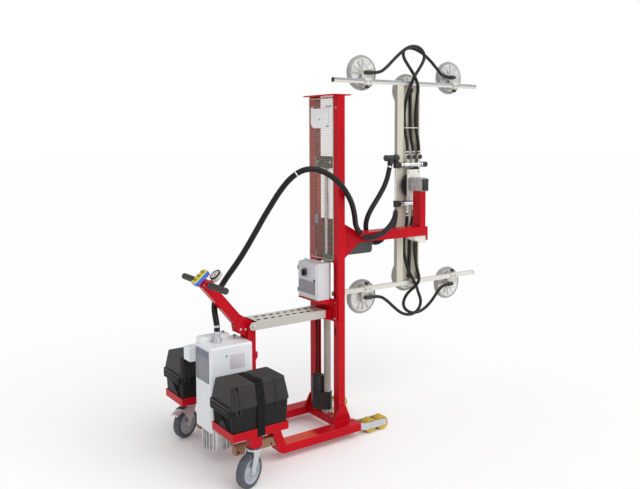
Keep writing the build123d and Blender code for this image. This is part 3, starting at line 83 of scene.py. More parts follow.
image_width = 640
image_height = 489
focal_px = 721.47
axis_row = 192.19
sensor_mm = 36
camera_place = spot(-2.5751, -3.6020, 1.8237)
camera_ahead = Vector((0.5720, 0.8166, -0.0771)).normalized()
camera_right = Vector((0.8189, -0.5739, -0.0033)).normalized()
camera_axes = Matrix((camera_right, camera_right.cross(camera_ahead), -camera_ahead)).transposed()
camera_data = bpy.data.cameras.new("studio_camera")
camera_data.sensor_fit = "HORIZONTAL"
camera_data.sensor_width = sensor_mm
camera_data.lens = sensor_mm * focal_px / image_width
camera_data.shift_y = (axis_row - image_height / 2) / image_width
camera = bpy.data.objects.new("studio_camera", camera_data)
camera.matrix_world = Matrix.Translation(camera_place) @ camera_axes.to_4x4()
scene.collection.objects.link(camera)
scene.camera = camera

floor_reach = 60
floor_mesh = bpy.data.meshes.new("studio_floor")
floor_shape = bmesh.new()
bmesh.ops.create_grid(floor_shape, x_segments=1, y_segments=1, size=floor_reach)
floor_shape.to_mesh(floor_mesh)
floor_shape.free()
floor = bpy.data.objects.new("studio_floor", floor_mesh)
scene.collection.objects.link(floor)
floor_material = bpy.data.materials.new("pale_floor")
floor_material.use_nodes = True
floor_shader = floor_material.node_tree.nodes["Principled BSDF"]
floor_shader.inputs["Base Color"].default_value = (0.95, 0.95, 0.95, 1)
floor_shader.inputs["Roughness"].default_value = 0.9
floor_shader.inputs["Specular IOR Level"].default_value = 0.1
floor_mesh.materials.append(floor_material)


def add_node(tree, kind, values=None, feeds=None, **settings):
    """Shader node with its settings, its fixed input values and the sockets that feed it."""
    node = tree.nodes.new("ShaderNode" + kind)
    for name, setting in settings.items():
        setattr(node, name, setting)
    for socket, value in (values or {}).items():
        node.inputs[socket].default_value = value
    for socket, source in (feeds or {}).items():
        tree.links.new(source, node.inputs[socket])
    return node


sky_white = (1.0, 1.0, 1.0, 1)
world = bpy.data.worlds.new("studio")
scene.world = world
world.use_nodes = True
sky_tree = world.node_tree
sky = sky_tree.nodes["Background"]
sky.inputs["Color"].default_value = sky_white
sky.inputs["Strength"].default_value = 0.62
lit = sky.outputs["Background"]
backdrop = add_node(sky_tree, "Background", {"Color": sky_white}).outputs["Background"]
seen = add_node(sky_tree, "LightPath").outputs["Is Camera Ray"]
either = add_node(sky_tree, "MixShader", feeds={"Fac": seen, 1: lit, 2: backdrop})
sky_tree.links.new(either.outputs["Shader"], sky_tree.nodes["World Output"].inputs["Surface"])


def broad_light(name, toward, strength, spread):
    """Far light as broad as a studio wall, shining in one direction."""
    data = bpy.data.lights.new(name, "SUN")
    data.energy = strength
    data.angle = radians(spread)
    light = bpy.data.objects.new(name, data)
    light.matrix_world = Vector(toward).to_track_quat("-Z", "Y").to_matrix().to_4x4()
    scene.collection.objects.link(light)


broad_light("right_wall_light", toward=(-0.25, 0.75, -0.75), strength=1.7, spread=70)
broad_light("left_wall_light", toward=(0.85, 0.10, -0.55), strength=0.35, spread=80)


# Chassis frame: two box-section legs with bent-up rear ends, a cross tube, a rear crossbeam
# and foot gussets, welded from steel tube and sprayed in gloss red.
def covered(tree, surface, colour, amount):
    """Colour of a surface with another colour laid over it by an amount."""
    cover = add_node(tree, "Mix", {"B": (*colour, 1)}, {"Factor": amount, "A": surface}, data_type="RGBA")
    return cover.outputs["Result"]


def finish(name, colour, shade, patch, rough, grain, bump, metallic=0.0, coat=0.0, gloss=0.5, edge=None):
    """Material whose colour drifts between two tones, with grain in its gloss and rubbed edges."""
    material = bpy.data.materials.new(name)
    material.use_nodes = True
    tree = material.node_tree
    shader = tree.nodes["Principled BSDF"]
    shader.inputs["Metallic"].default_value = metallic
    shader.inputs["Coat Weight"].default_value = coat
    shader.inputs["Coat Roughness"].default_value = 0.12
    shader.inputs["Specular IOR Level"].default_value = gloss
    place = add_node(tree, "TexCoord").outputs["Object"]
    patches = add_node(tree, "TexNoise", {"Scale": patch, "Detail": 5}, {"Vector": place}).outputs["Fac"]
    grains = add_node(tree, "TexNoise", {"Scale": grain, "Detail": 3}, {"Vector": place}).outputs["Fac"]
    tones = add_node(tree, "ValToRGB", feeds={"Fac": patches})
    darker, lighter = tones.color_ramp.elements
    darker.position = 0.35
    darker.color = (*shade, 1)
    lighter.position = 0.65
    lighter.color = (*colour, 1)
    gloss_range = {"To Min": max(rough - 0.1, 0.02), "To Max": rough + 0.1}
    sheen = add_node(tree, "MapRange", gloss_range, {"Value": grains})
    height = add_node(tree, "Bump", {"Strength": bump, "Distance": 0.0006}, {"Height": grains})
    tree.links.new(sheen.outputs["Result"], shader.inputs["Roughness"])
    tree.links.new(height.outputs["Normal"], shader.inputs["Normal"])
    surface = tones.outputs["Color"]
    if edge is not None:
        worn = add_node(tree, "Attribute", attribute_name="worn").outputs["Fac"]
        rub = add_node(tree, "Math", feeds={0: worn, 1: grains}, operation="MULTIPLY")
        surface = covered(tree, surface, edge, rub.outputs["Value"])
    tree.links.new(surface, shader.inputs["Base Color"])
    return material


def painted_side_light(material, side, painted_tone, share, until_x=None):
    """Painted light and shade: faces that look to one side get another tone, all along or up to a place."""
    tree = material.node_tree
    base = tree.nodes["Principled BSDF"].inputs["Base Color"]
    normal = add_node(tree, "NewGeometry").outputs["True Normal"]
    toward = add_node(tree, "VectorMath", {1: side}, {0: normal}, operation="DOT_PRODUCT").outputs["Value"]
    side_share = add_node(tree, "MapRange", {"From Min": 0.8, "To Max": share}, {"Value": toward})
    amount = side_share.outputs["Result"]
    if until_x is not None:
        place = add_node(tree, "TexCoord").outputs["Object"]
        along_x = add_node(tree, "SeparateXYZ", feeds={"Vector": place}).outputs["X"]
        fade_range = {"From Min": until_x, "From Max": until_x + 0.03, "To Min": 1, "To Max": 0}
        fade = add_node(tree, "MapRange", fade_range, {"Value": along_x}).outputs["Result"]
        amount = add_node(tree, "Math", feeds={0: fade, 1: amount}, operation="MULTIPLY").outputs["Value"]
    tree.links.new(covered(tree, base.links[0].from_socket, painted_tone, amount), base)
    return material


def place_piece(name, shape, material, body, crease=30):
    """Object made of a finished shape, smooth up to a crease angle, riding on a body."""
    mesh = bpy.data.meshes.new(name)
    shape.to_mesh(mesh)
    shape.free()
    mesh.polygons.foreach_set("use_smooth", [True] * len(mesh.polygons))
    mesh.set_sharp_from_angle(angle=radians(crease))
    mesh.materials.append(material)
    piece = bpy.data.objects.new(name, mesh)
    scene.collection.objects.link(piece)
    if body:
        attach(piece, body)
    return piece


def sharp_edges(shape, angle):
    """Edges where two faces meet at more than an angle in degrees."""
    return [edge for edge in shape.edges if edge.is_manifold and edge.calc_face_angle(0) > radians(angle)]


def break_edges(shape, edges, width, segments):
    """Rounds edges off, and gives back the faces that this makes."""
    made = bmesh.ops.bevel(
        shape, geom=edges, offset=width, segments=segments, profile=0.5, affect="EDGES", material=-1,
        clamp_overlap=True,
    )
    return made["faces"]


def soft_edged(node, material, width=0.002, segments=2, left_out=None):
    """The node's solid with its sharp edges broken, as real sheet, tube and castings have them."""
    shape = bmesh.new()
    shape.from_mesh(frame["nodes"][node].data)
    bmesh.ops.remove_doubles(shape, verts=shape.verts, dist=1e-6)
    if left_out:
        gone = [vertex for vertex in shape.verts if left_out(vertex.co)]
        bmesh.ops.delete(shape, geom=gone, context="VERTS")
    bmesh.ops.dissolve_limit(shape, angle_limit=radians(1), verts=shape.verts, edges=shape.edges)
    worn = shape.faces.layers.float.new("worn")
    for face in break_edges(shape, sharp_edges(shape, 32), width, segments):
        face[worn] = 1.0
    body = frame["nodes"][node]["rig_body"]
    piece = place_piece(node + "_finished", shape, material, body)
    flat = piece.modifiers.new("flat_faces", "WEIGHTED_NORMAL")
    flat.keep_sharp = True
    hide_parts(node)
    return piece


red = (0.50, 0.0025, 0.011)
red_shade = (0.43, 0.002, 0.009)


def gloss_red(name):
    """Sprayed gloss red, rubbed a little lighter along the edges."""
    return finish(
        name, red, red_shade, patch=3.0, rough=0.28, grain=900, bump=0.04, coat=0.04, gloss=0.10,
        edge=(0.66, 0.03, 0.035),
    )


red_paint = gloss_red("gloss_red_paint")
# Painted light: the frame's upward faces get an orange tone for lit gloss, from the rear up to where the
# mast's shadow falls on the legs.
painted_leg_highlight = (0.62, 0.085, 0.03)
leg_highlight_end = spot(-0.264, 0, 0).x
soft_edged("chassis_frame", painted_side_light(gloss_red("leg_red_paint"), (0, 0, 1), painted_leg_highlight, 0.8, leg_highlight_end))


# Load rollers and their brackets: zinc-plated cheeks bolted in the leg ends, with axles that
# carry two turned polyurethane rollers each.
forward = (1, 0, 0)
backward = (-1, 0, 0)
leftward = (0, 1, 0)
rightward = (0, -1, 0)
upward = (0, 0, 1)
unturned = Matrix.Identity(4)


def facing(along):
    """Turn that brings the upright direction to the given one."""
    return Vector(upward).rotation_difference(Vector(along)).to_matrix().to_4x4()


def add_part(shape, part, place, turn=unturned):
    """Sets a part at its place, turned, and adds its faces to a shape."""
    bmesh.ops.transform(part, matrix=Matrix.Translation(place) @ turn, verts=part.verts)
    loose = bpy.data.meshes.new("loose")
    part.to_mesh(loose)
    part.free()
    shape.from_mesh(loose)
    bpy.data.meshes.remove(loose)


def turned(shape, profile, place, along=upward, steps=32):
    """Profile of (radius, height) points spun round an axis at a place, added to a shape."""
    part = bmesh.new()
    chain = [part.verts.new((radius, 0, height)) for radius, height in profile]
    edges = [part.edges.new(pair) for pair in zip(chain, chain[1:])]
    bmesh.ops.spin(
        part, geom=chain + edges, cent=(0, 0, 0), axis=upward, dvec=(0, 0, 0), angle=2 * pi,
        steps=steps, use_merge=True, use_duplicate=False,
    )
    bmesh.ops.remove_doubles(part, verts=part.verts, dist=1e-6)
    bmesh.ops.recalc_face_normals(part, faces=part.faces)
    add_part(shape, part, place, facing(along))


def turned_piece(name, profile, place, along, steps, material, body):
    """Piece that is a single turned profile."""
    shape = bmesh.new()
    turned(shape, profile, place, along, steps)
    return place_piece(name, shape, material, body)


def mirrored(half_profile, crown=()):
    """Closed profile that is alike on both sides of its middle, with any points on the middle."""
    other_half = [(radius, -height) for radius, height in reversed(half_profile)]
    return [*half_profile, *crown, *other_half, half_profile[0]]


def ring(shape, place, along, radius, wall, width, steps=28):
    """Flat band round a tube, with its outer edges broken."""
    half = width / 2
    outer = radius + wall
    chamfer = min(wall, width) / 4
    profile = mirrored([(radius, -half), (outer - chamfer, -half), (outer, chamfer - half)])
    turned(shape, profile, place, along, steps)


def bar(shape, sides, radius, length, middle, along=upward, end_radius=None):
    """Closed bar with a number of sides, straight or tapering, added to a shape."""
    bmesh.ops.create_cone(
        shape, cap_ends=True, segments=sides, radius1=radius, radius2=end_radius or radius, depth=length,
        matrix=Matrix.Translation(middle) @ facing(along),
    )


def bolt(shape, place, along, width, rise=0.55):
    """Hexagon head on a washer, standing on a face; its rise is a share of its width."""
    part = bmesh.new()
    washer_t = 0.12 * width
    head_t = rise * width
    bar(part, 6, width / 2, head_t, (0, 0, washer_t + head_t / 2))
    break_edges(part, part.edges[:], 0.06 * width, 1)
    bar(part, 20, 0.72 * width, washer_t, (0, 0, washer_t / 2), end_radius=0.70 * width)
    add_part(shape, part, place, facing(along))


zinc = finish(
    "zinc_plate", (0.62, 0.65, 0.68), (0.56, 0.585, 0.61), patch=25, rough=0.34, grain=300, bump=0.08,
    metallic=0.9, edge=(0.80, 0.82, 0.84),
)
bolt_zinc = finish(
    "bolt_zinc", (0.70, 0.72, 0.74), (0.55, 0.57, 0.60), patch=60, rough=0.28, grain=400, bump=0.05,
    metallic=0.95,
)
yellow_tread = finish(
    "yellow_polyurethane", (0.62, 0.42, 0.035), (0.50, 0.32, 0.02), patch=22, rough=0.38, grain=220,
    bump=0.10, edge=(0.56, 0.42, 0.08),
)
soft_edged("roller_brackets", zinc, 0.0012)
leg_y = 0.210
cheek_out = 0.0407
low_rise = 0.3
bracket_bolts = bmesh.new()
for side in (-1, 1):
    for out in (-1, 1):
        face_y = side * leg_y + out * cheek_out
        for bolt_x in (0.086, 0.112, 0.206):
            bolt(bracket_bolts, spot(bolt_x, face_y, 0.0545), (0, out, 0), 0.009, low_rise)
        for axle_x in (0.160, 0.252):
            bolt(bracket_bolts, spot(axle_x, face_y, 0.042), (0, out, 0), 0.014, low_rise)
place_piece("roller_bracket_bolts", bracket_bolts, bolt_zinc, "chassis")
roller_bore = 0.0082
roller_hub = 0.020
for side in ("left", "right"):
    for row in ("rear", "front"):
        node = f"load_roller_{side}_{row}"
        low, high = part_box(node)
        middle = (low + high) / 2
        tread_r = (high.z - low.z) / 2
        half = (high.y - low.y) / 2
        roller_profile = mirrored([
            (roller_bore, -half), (roller_hub, -half), (roller_hub + 0.002, 0.003 - half),
            (tread_r - 0.010, 0.003 - half), (tread_r - 0.006, -half), (tread_r - 0.002, 0.002 - half),
            (tread_r, 0.006 - half),
        ])
        piece = turned_piece(
            node + "_tread", roller_profile, middle, leftward, 48, yellow_tread, node + "_body"
        )
        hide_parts(node)


# Castors: pressed zinc forks on a double ball race, with grey rubber tyres on moulded rims.
# The left-hand one has a foot pedal that brakes it.
tyre_rubber = finish(
    "grey_tyre_rubber", (0.075, 0.085, 0.105), (0.05, 0.056, 0.07), patch=40, rough=0.55, grain=260, bump=0.15
)
rim_plastic = finish(
    "castor_rim_plastic", (0.40, 0.43, 0.48), (0.30, 0.33, 0.37), patch=30, rough=0.42, grain=300, bump=0.06
)
race_top_black = finish(
    "black_race_top", (0.012, 0.012, 0.014), (0.008, 0.008, 0.009), patch=30, rough=0.4, grain=300, bump=0.05
)
castor_x = -0.755
castor_turn = radians(23)
axle_along = Vector((-sin(castor_turn), cos(castor_turn), 0))
fork_half = 0.0303
rim_r = 0.064
stem_r = 0.012
tyre_profile = mirrored([
    (rim_r, -0.0205), (0.072, -0.022), (0.080, -0.0225), (0.0855, -0.0195), (0.0885, -0.0135),
    (0.0898, -0.006),
], [(0.090, 0.0)])
rim_profile = mirrored([
    (0.0062, -0.026), (0.0155, -0.026), (0.0175, -0.0245), (0.020, -0.016), (0.026, -0.0105),
    (0.040, -0.009), (0.052, -0.0105), (0.0575, -0.018), (0.0595, -0.0215), (rim_r, -0.0215),
])
race_profile = [
    (stem_r, 0.1845), (0.0330, 0.1845), (0.0372, 0.1875), (0.0386, 0.1905), (0.0378, 0.1940),
    (0.0355, 0.1955), (stem_r, 0.1955), (stem_r, 0.1845),
]
# A black ring on top of the zinc race, under the mount block.
race_top_profile = [
    (stem_r, 0.1956), (0.0350, 0.1956), (0.0380, 0.1975), (0.0392, 0.2005), (0.0392, 0.2046),
    (stem_r, 0.2046), (stem_r, 0.1956),
]
for side, castor_y in (("left", 0.392), ("right", -0.392)):
    wheel = "castor_wheel_" + side
    low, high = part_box(wheel)
    hub = (low + high) / 2
    body = "wheel_" + side
    piece = turned_piece(
        "castor_tyre_" + side, tyre_profile, hub, axle_along, 72, tyre_rubber, body
    )
    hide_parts(wheel)
    turned_piece("castor_rim_" + side, rim_profile, hub, axle_along, 64, rim_plastic, body)
    soft_edged("castor_fork_" + side, zinc, 0.0015)
    body = "castor_" + side
    stem_foot = spot(castor_x, castor_y, 0)
    shape = bmesh.new()
    turned(shape, race_profile, stem_foot, upward, 48)
    for out in (-1, 1):
        bolt(shape, hub + axle_along * out * fork_half, axle_along * out, 0.022, 0.14)
    place_piece("castor_race_" + side, shape, bolt_zinc, body)
    turned_piece(
        "castor_race_top_" + side, race_top_profile, stem_foot, upward, 48, race_top_black, body
    )
soft_edged("brake_pedal", zinc, 0.0012)


# Battery trays: folded red steel trays on the crossbeam's ends, each with the block that
# takes a castor's stem.
soft_edged("battery_trays", red_paint)


# Ballast bars: two sawn steel bars in brown primer under the pump, drilled through at both ends
# and bolted to the risers.
brown_primer = finish(
    "brown_primer", (0.36, 0.19, 0.105), (0.27, 0.135, 0.075), patch=18, rough=0.62, grain=180, bump=0.2,
    edge=(0.5, 0.34, 0.24),
)
# Painted shade: near black for holes, slots and vents, standing for the shade inside them; the same finish
# prints the gauge's dial marks.
hole_shade_and_print = finish(
    "painted_hole_shade_and_dial_print", (0.012, 0.011, 0.011), (0.006, 0.006, 0.006), patch=40, rough=0.8, grain=200, bump=0.02,
    gloss=0.1,
)
soft_edged("ballast_bars", brown_primer, 0.002)
ballast_out = 0.222 + 0.0225
# Painted shade: the drilled holes are shallow dark dishes on the bars' faces, coloured as the shade inside
# them.
hole_profile = [(0, -0.001), (0.0055, -0.001), (0.0062, 0.0004), (0.0050, 0.0008), (0, 0.0002)]
shape = bmesh.new()
for side in (-1, 1):
    for hole_x in (-0.768, -0.560):
        turned(shape, hole_profile, spot(hole_x, side * ballast_out, 0.117), (0, side, 0), 20)
place_piece("ballast_holes", shape, hole_shade_and_print, "chassis")


# Pump: an upright moulded cabinet of white plastic over a finned aluminium motor, with a filter
# canister at its side, a bare grey plate behind and a nozzle that takes the hose.
def blank(size):
    """Plain block about its own middle, to be shaped further."""
    part = bmesh.new()
    bmesh.ops.create_cube(part, size=1)
    bmesh.ops.scale(part, vec=size, verts=part.verts)
    return part


def slab(shape, middle, size, edge=0.0015, segments=2, turn=unturned):
    """Block with broken edges, added to a shape."""
    part = blank(size)
    if edge:
        break_edges(part, part.edges[:], edge, segments)
    add_part(shape, part, middle, turn)


def plate(shape, middle, size, corner, axis, edge=0.0005, only=None):
    """Flat plate with round corners about one axis, added to a shape."""
    part = blank(size)
    corners = []
    for side_edge in part.edges:
        start, end = [vertex.co for vertex in side_edge.verts]
        run = end - start
        if abs(run[axis]) > 0.9 * run.length and (only is None or only((start + end) / 2)):
            corners.append(side_edge)
    break_edges(part, corners, corner, 8)
    break_edges(part, sharp_edges(part, 60), edge, 2)
    add_part(shape, part, middle)


def plate_piece(name, middle, size, corner, axis, edge, material):
    """Single flat plate on the chassis."""
    shape = bmesh.new()
    plate(shape, middle, size, corner, axis, edge)
    place_piece(name, shape, material, "chassis")


aluminium = finish(
    "cast_aluminium", (0.72, 0.72, 0.71), (0.56, 0.56, 0.56), patch=30, rough=0.36, grain=420, bump=0.15,
    metallic=0.85, edge=(0.86, 0.86, 0.86),
)
white_plastic = finish(
    "white_moulded_plastic", (0.76, 0.79, 0.81), (0.70, 0.73, 0.75), patch=4, rough=0.34, grain=700,
    bump=0.05, edge=(0.85, 0.86, 0.87),
)
plate_grey = finish(
    "bare_grey_plate", (0.25, 0.25, 0.27), (0.21, 0.21, 0.23), patch=9, rough=0.45, grain=500, bump=0.05
)
band_blue = finish(
    "bare_blue_grey_band", (0.17, 0.17, 0.27), (0.13, 0.13, 0.21), patch=14, rough=0.45, grain=500, bump=0.05
)
side_plate_grey = finish(
    "bare_side_plate", (0.62, 0.58, 0.62), (0.56, 0.52, 0.56), patch=60, rough=0.5, grain=500, bump=0.03
)
pump_back = -0.855
pump_half = 0.100
nozzle_x = -0.763
nozzle_bore = 0.0150
soft_edged("pump_motor", aluminium, 0.0008)
soft_edged("pump_cabinet", white_plastic, 0.0025, 3)
shape = bmesh.new()
slab(shape, spot(-0.759, 0.062, 0.681), (0.182, 0.068, 0.038), 0.009, 4)
place_piece("pump_top_cover", shape, white_plastic, "chassis")
plate_piece(
    "pump_rear_plate", spot(pump_back - 0.0018, 0, 0.556), (0.0040, 0.156, 0.180), 0.004, 0, 0.0005,
    plate_grey,
)
plate_piece(
    "pump_rear_band", spot(pump_back - 0.0042, 0, 0.622), (0.0010, 0.146, 0.034), 0.003, 0, 0.0003,
    band_blue,
)
shape = bmesh.new()
for side in (-1, 1):
    plate(shape, spot(-0.690, side * (pump_half + 0.0004), 0.574), (0.094, 0.0010, 0.084), 0.004, 1, 0.0003)
place_piece("pump_side_plates", shape, side_plate_grey, "chassis")
screw_profile = [(0, 0.0030), (0.0035, 0.0028), (0.0055, 0.0015), (0.0060, 0.0), (0, 0.0)]
knob_profile = [
    (0, 0.017), (0.007, 0.016), (0.009, 0.012), (0.008, 0.006), (0.005, 0.004), (0.005, 0), (0, 0)
]
shape = bmesh.new()
for side in (-1, 1):
    for screw_x, screw_z in ((-0.757, 0.612), (-0.612, 0.300), (-0.832, 0.300)):
        turned(shape, screw_profile, spot(screw_x, side * pump_half, screw_z), (0, side, 0), 16)
for knob_x, knob_y, knob_z in ((-0.690, 0.072, 0.692), (-0.632, 0.040, 0.668)):
    turned(shape, knob_profile, spot(knob_x, knob_y, knob_z), upward, 20)
place_piece("pump_screws_and_knobs", shape, plate_grey, "chassis")
nozzle_profile = [
    (nozzle_bore, 0.640), (0.0246, 0.640), (0.0252, 0.644), (0.0252, 0.686), (0.0240, 0.6905),
    (0.0185, 0.692), (0.0175, 0.696), (0.0175, 0.714), (0.0185, 0.7165), (0.0185, 0.7205),
    (0.0175, 0.723), (0.0165, 0.732), (nozzle_bore, 0.732), (nozzle_bore, 0.640),
]
turned_piece(
    "pump_nozzle_sleeve", nozzle_profile, spot(nozzle_x, 0, 0), upward, 36, zinc, "chassis"
)


# Batteries: black polypropylene boxes in the trays, with sloping lids, moulded ribs and a carrying
# handle at the back, each held down by a woven strap with a cam buckle.
box_black = finish(
    "black_polypropylene", (0.009, 0.008, 0.008), (0.005, 0.0045, 0.0045), patch=8, rough=0.5, grain=600,
    bump=0.2, gloss=0.22, edge=(0.03, 0.028, 0.028),
)
lid_black = finish(
    "black_lid_plastic", (0.026, 0.023, 0.023), (0.018, 0.016, 0.016), patch=8, rough=0.48, grain=600,
    bump=0.2, gloss=0.28, edge=(0.06, 0.056, 0.056),
)


def raised(material, height, strength):
    """Raises a pattern on the grain of a material."""
    tree = material.node_tree
    normal = tree.nodes["Principled BSDF"].inputs["Normal"]
    relief = add_node(
        tree, "Bump", {"Strength": strength, "Distance": 0.0008},
        {"Height": height, "Normal": normal.links[0].from_socket},
    )
    tree.links.new(relief.outputs["Normal"], normal)


def webbing(name, colour, shade, pitch):
    """Woven band: slanting waves raise the weave."""
    material = finish(name, colour, shade, patch=40, rough=0.75, grain=900, bump=0.1, gloss=0.2)
    tree = material.node_tree
    place = add_node(tree, "TexCoord").outputs["Object"]
    threads = {"Scale": 1 / pitch, "Distortion": 0.4}
    weave = add_node(tree, "TexWave", threads, {"Vector": place}, bands_direction="DIAGONAL")
    raised(material, weave.outputs["Fac"], 0.5)
    return material


strap_weave = webbing("black_strap_weave", (0.006, 0.006, 0.006), (0.003, 0.003, 0.003), 0.02)
soft_edged("battery_boxes", box_black, 0.003, 3)
soft_edged("battery_lids", lid_black, 0.004, 3)
soft_edged("battery_straps", strap_weave, 0.0006, 1)
battery_x = -0.729
battery_y = 0.309
lid_lean = radians(12.8)
lid_side = 0.119
lid_crown = 0.094
lid_foot_z = 0.440
lid_top_z = 0.550
slope_out = (lid_side + lid_crown) / 2
slope_z = (lid_foot_z + lid_top_z) / 2
slope_h = 0.106
wide_rib = (0.010, 0.0072, 0.1165, 0.010, 0.040)
thin_rib = (0.007, 0.0066, 0.1170, 0.008, 0.036)
rib_foot_z = 0.424
buckle_z = 0.5495
box_details = bmesh.new()
lid_details = bmesh.new()
strap_details = bmesh.new()
for side in (-1, 1):
    lid_y = side * battery_y
    for out in (-1, 1):
        lean = Matrix.Rotation(out * lid_lean, 4, "X")
        for rib_x, rib in ((-0.146, wide_rib), (-0.122, wide_rib), (0.094, thin_rib)):
            rib_w, rib_t, foot_out, foot_t, foot_h = rib
            slope_place = spot(battery_x + rib_x, lid_y + out * slope_out, slope_z)
            foot_place = spot(battery_x + rib_x, lid_y + out * foot_out, rib_foot_z)
            slab(lid_details, slope_place, (rib_w, rib_t, slope_h), 0.002, 2, lean)
            slab(lid_details, foot_place, (rib_w, foot_t, foot_h), 0.002)
    slab(lid_details, spot(-0.9045, lid_y, 0.437), (0.020, 0.214, 0.016), 0.004, 3)
    for out in (-1, 1):
        slab(box_details, spot(-0.9035, lid_y + out * 0.099, 0.412), (0.022, 0.016, 0.040), 0.004, 3)
    slab(box_details, spot(-0.9085, lid_y, 0.397), (0.014, 0.206, 0.012), 0.004, 3)
    buckle_y = side * (battery_y + 0.052)
    for bar_y in (-0.020, 0.0, 0.020):
        slab(strap_details, spot(battery_x, buckle_y + bar_y, buckle_z), (0.056, 0.008, 0.006), 0.002)
    for end_x in (-0.026, 0.026):
        slab(strap_details, spot(battery_x + end_x, buckle_y, buckle_z), (0.006, 0.046, 0.006), 0.002)
place_piece("battery_handles", box_details, box_black, "chassis")
place_piece("battery_lid_ribs", lid_details, lid_black, "chassis")
place_piece("battery_strap_buckles", strap_details, box_black, "chassis")
# Painted shade: the vents are low dark discs, coloured as the shade in their openings.
vent_profile = [(0, 0.0008), (0.007, 0.0012), (0.009, 0.0010), (0.0095, -0.002), (0, -0.002)]
vent_x = battery_x - 0.134
shape = bmesh.new()
for side in (-1, 1):
    for out in (-1, 1):
        slope_normal = (0, out * cos(lid_lean), sin(lid_lean))
        vent_place = spot(vent_x, side * battery_y + out * 0.0975, 0.5345)
        turned(shape, vent_profile, vent_place, slope_normal, 20)
place_piece("battery_vents", shape, hole_shade_and_print, "chassis")


# Rear post: a red box-section post of welded steel, on a foot plate that is bolted to the
# crossbeam between the batteries.
soft_edged("rear_post", red_paint)
shape = bmesh.new()
for side in (-1, 1):
    for bolt_x in (-0.578, -0.523):
        bolt(shape, spot(bolt_x, side * 0.0575, 0.293), upward, 0.013)
place_piece("post_foot_bolts", shape, bolt_zinc, "chassis")


# Mast: two upright red channels closed by a top plate, tied by a bracket plate that carries the
# control box's shelf, with punched slots up the back of the right-hand channel.
for node in ("mast_columns", "mast_top_plate", "mast_brackets"):
    soft_edged(node, red_paint)
# Painted shade: each slot is a thin dark plate on the channel's back, coloured as the shade inside a punched
# slot.
slot_w = 0.009
slot_h = 0.046
shape = bmesh.new()
for slot_z in (0.640, 0.866, 0.940, 1.014):
    plate(shape, spot(-0.0236, -0.118, slot_z), (0.0008, slot_w, slot_h), slot_w / 2.1, 0, 0.0001)
place_piece("mast_slots", shape, hole_shade_and_print, "chassis")
shape = bmesh.new()
for side in (-1, 1):
    for bolt_z in (0.720, 0.818):
        bolt(shape, spot(-0.032, side * 0.124, bolt_z), backward, 0.007)
    bolt(shape, spot(-0.0235, side * 0.128, 1.995), backward, 0.008)
place_piece("mast_bolts", shape, bolt_zinc, "chassis")


# Mesh guard: welded wire mesh in a flat steel rim behind the mast, with a white plate hung on it
# by two screws and a small latch.
mesh_wire = finish(
    "grey_mesh_wire", (0.50, 0.42, 0.35), (0.38, 0.31, 0.25), patch=60, rough=0.5, grain=300, bump=0.05,
    metallic=0.2,
)
mesh_x = -0.025
mesh_right = -0.104
mesh_left = 0.154
mesh_bottom = 1.066
mesh_top = 2.058
mesh_w = mesh_left - mesh_right
mesh_h = mesh_top - mesh_bottom
middle_y = (mesh_left + mesh_right) / 2
middle_z = (mesh_top + mesh_bottom) / 2
rim_t = 0.0028
rim_w = 0.009
wire_r = 0.0009
wire_pitch = 0.0105
open_w = mesh_w - 2 * rim_w
open_h = mesh_h - 2 * rim_w
wire_columns = int(open_w / wire_pitch)
wire_rows = int(open_h / wire_pitch)
shape = bmesh.new()
for rim_y in (mesh_right + rim_w / 2, mesh_left - rim_w / 2):
    slab(shape, spot(mesh_x, rim_y, middle_z), (rim_t, rim_w, mesh_h), 0.0006, 1)
for rim_z in (mesh_bottom + rim_w / 2, mesh_top - rim_w / 2):
    slab(shape, spot(mesh_x, middle_y, rim_z), (rim_t, mesh_w, rim_w), 0.0006, 1)
for index in range(1, wire_columns + 1):
    wire_y = mesh_right + rim_w + index * open_w / (wire_columns + 1)
    bar(shape, 6, wire_r, mesh_h - rim_w, spot(mesh_x + wire_r, wire_y, middle_z), upward)
for index in range(1, wire_rows + 1):
    wire_z = mesh_bottom + rim_w + index * open_h / (wire_rows + 1)
    bar(shape, 6, wire_r, mesh_w - rim_w, spot(mesh_x - wire_r, middle_y, wire_z), leftward)
piece = place_piece("mesh_wires", shape, mesh_wire, "chassis", 60)
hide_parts("mesh_guard")

hung_white = finish(
    "white_hung_plate", (0.80, 0.80, 0.82), (0.74, 0.74, 0.77), patch=6, rough=0.35, grain=500, bump=0.04
)
hung_x = -0.0285
hung_t = 0.004
shape = bmesh.new()
plate(
    shape, spot(hung_x, 0.036, 1.934), (hung_t, 0.186, 0.120), 0.040, 0, 0.0006,
    only=lambda centre: centre.z < 0,
)
for ear_y in (0.116, -0.044):
    slab(shape, spot(hung_x, ear_y, 2.000), (hung_t, 0.022, 0.016), 0.001)
place_piece("hung_plate", shape, hung_white, "chassis")
shape = bmesh.new()
for screw_y, screw_z in ((0.036, 1.928), (-0.038, 2.004), (-0.080, 2.004), (0.116, 2.002)):
    turned(shape, screw_profile, spot(-0.0303, screw_y, screw_z), backward, 16)
slab(shape, spot(-0.030, -0.059, 2.004), (0.003, 0.052, 0.006), 0.001)
slab(shape, spot(-0.031, -0.048, 1.884), (0.004, 0.024, 0.008), 0.001)
slab(shape, spot(-0.030, 0.065, 1.315), (0.006, 0.030, 0.060), 0.002)
place_piece("hung_plate_fittings", shape, plate_grey, "chassis")


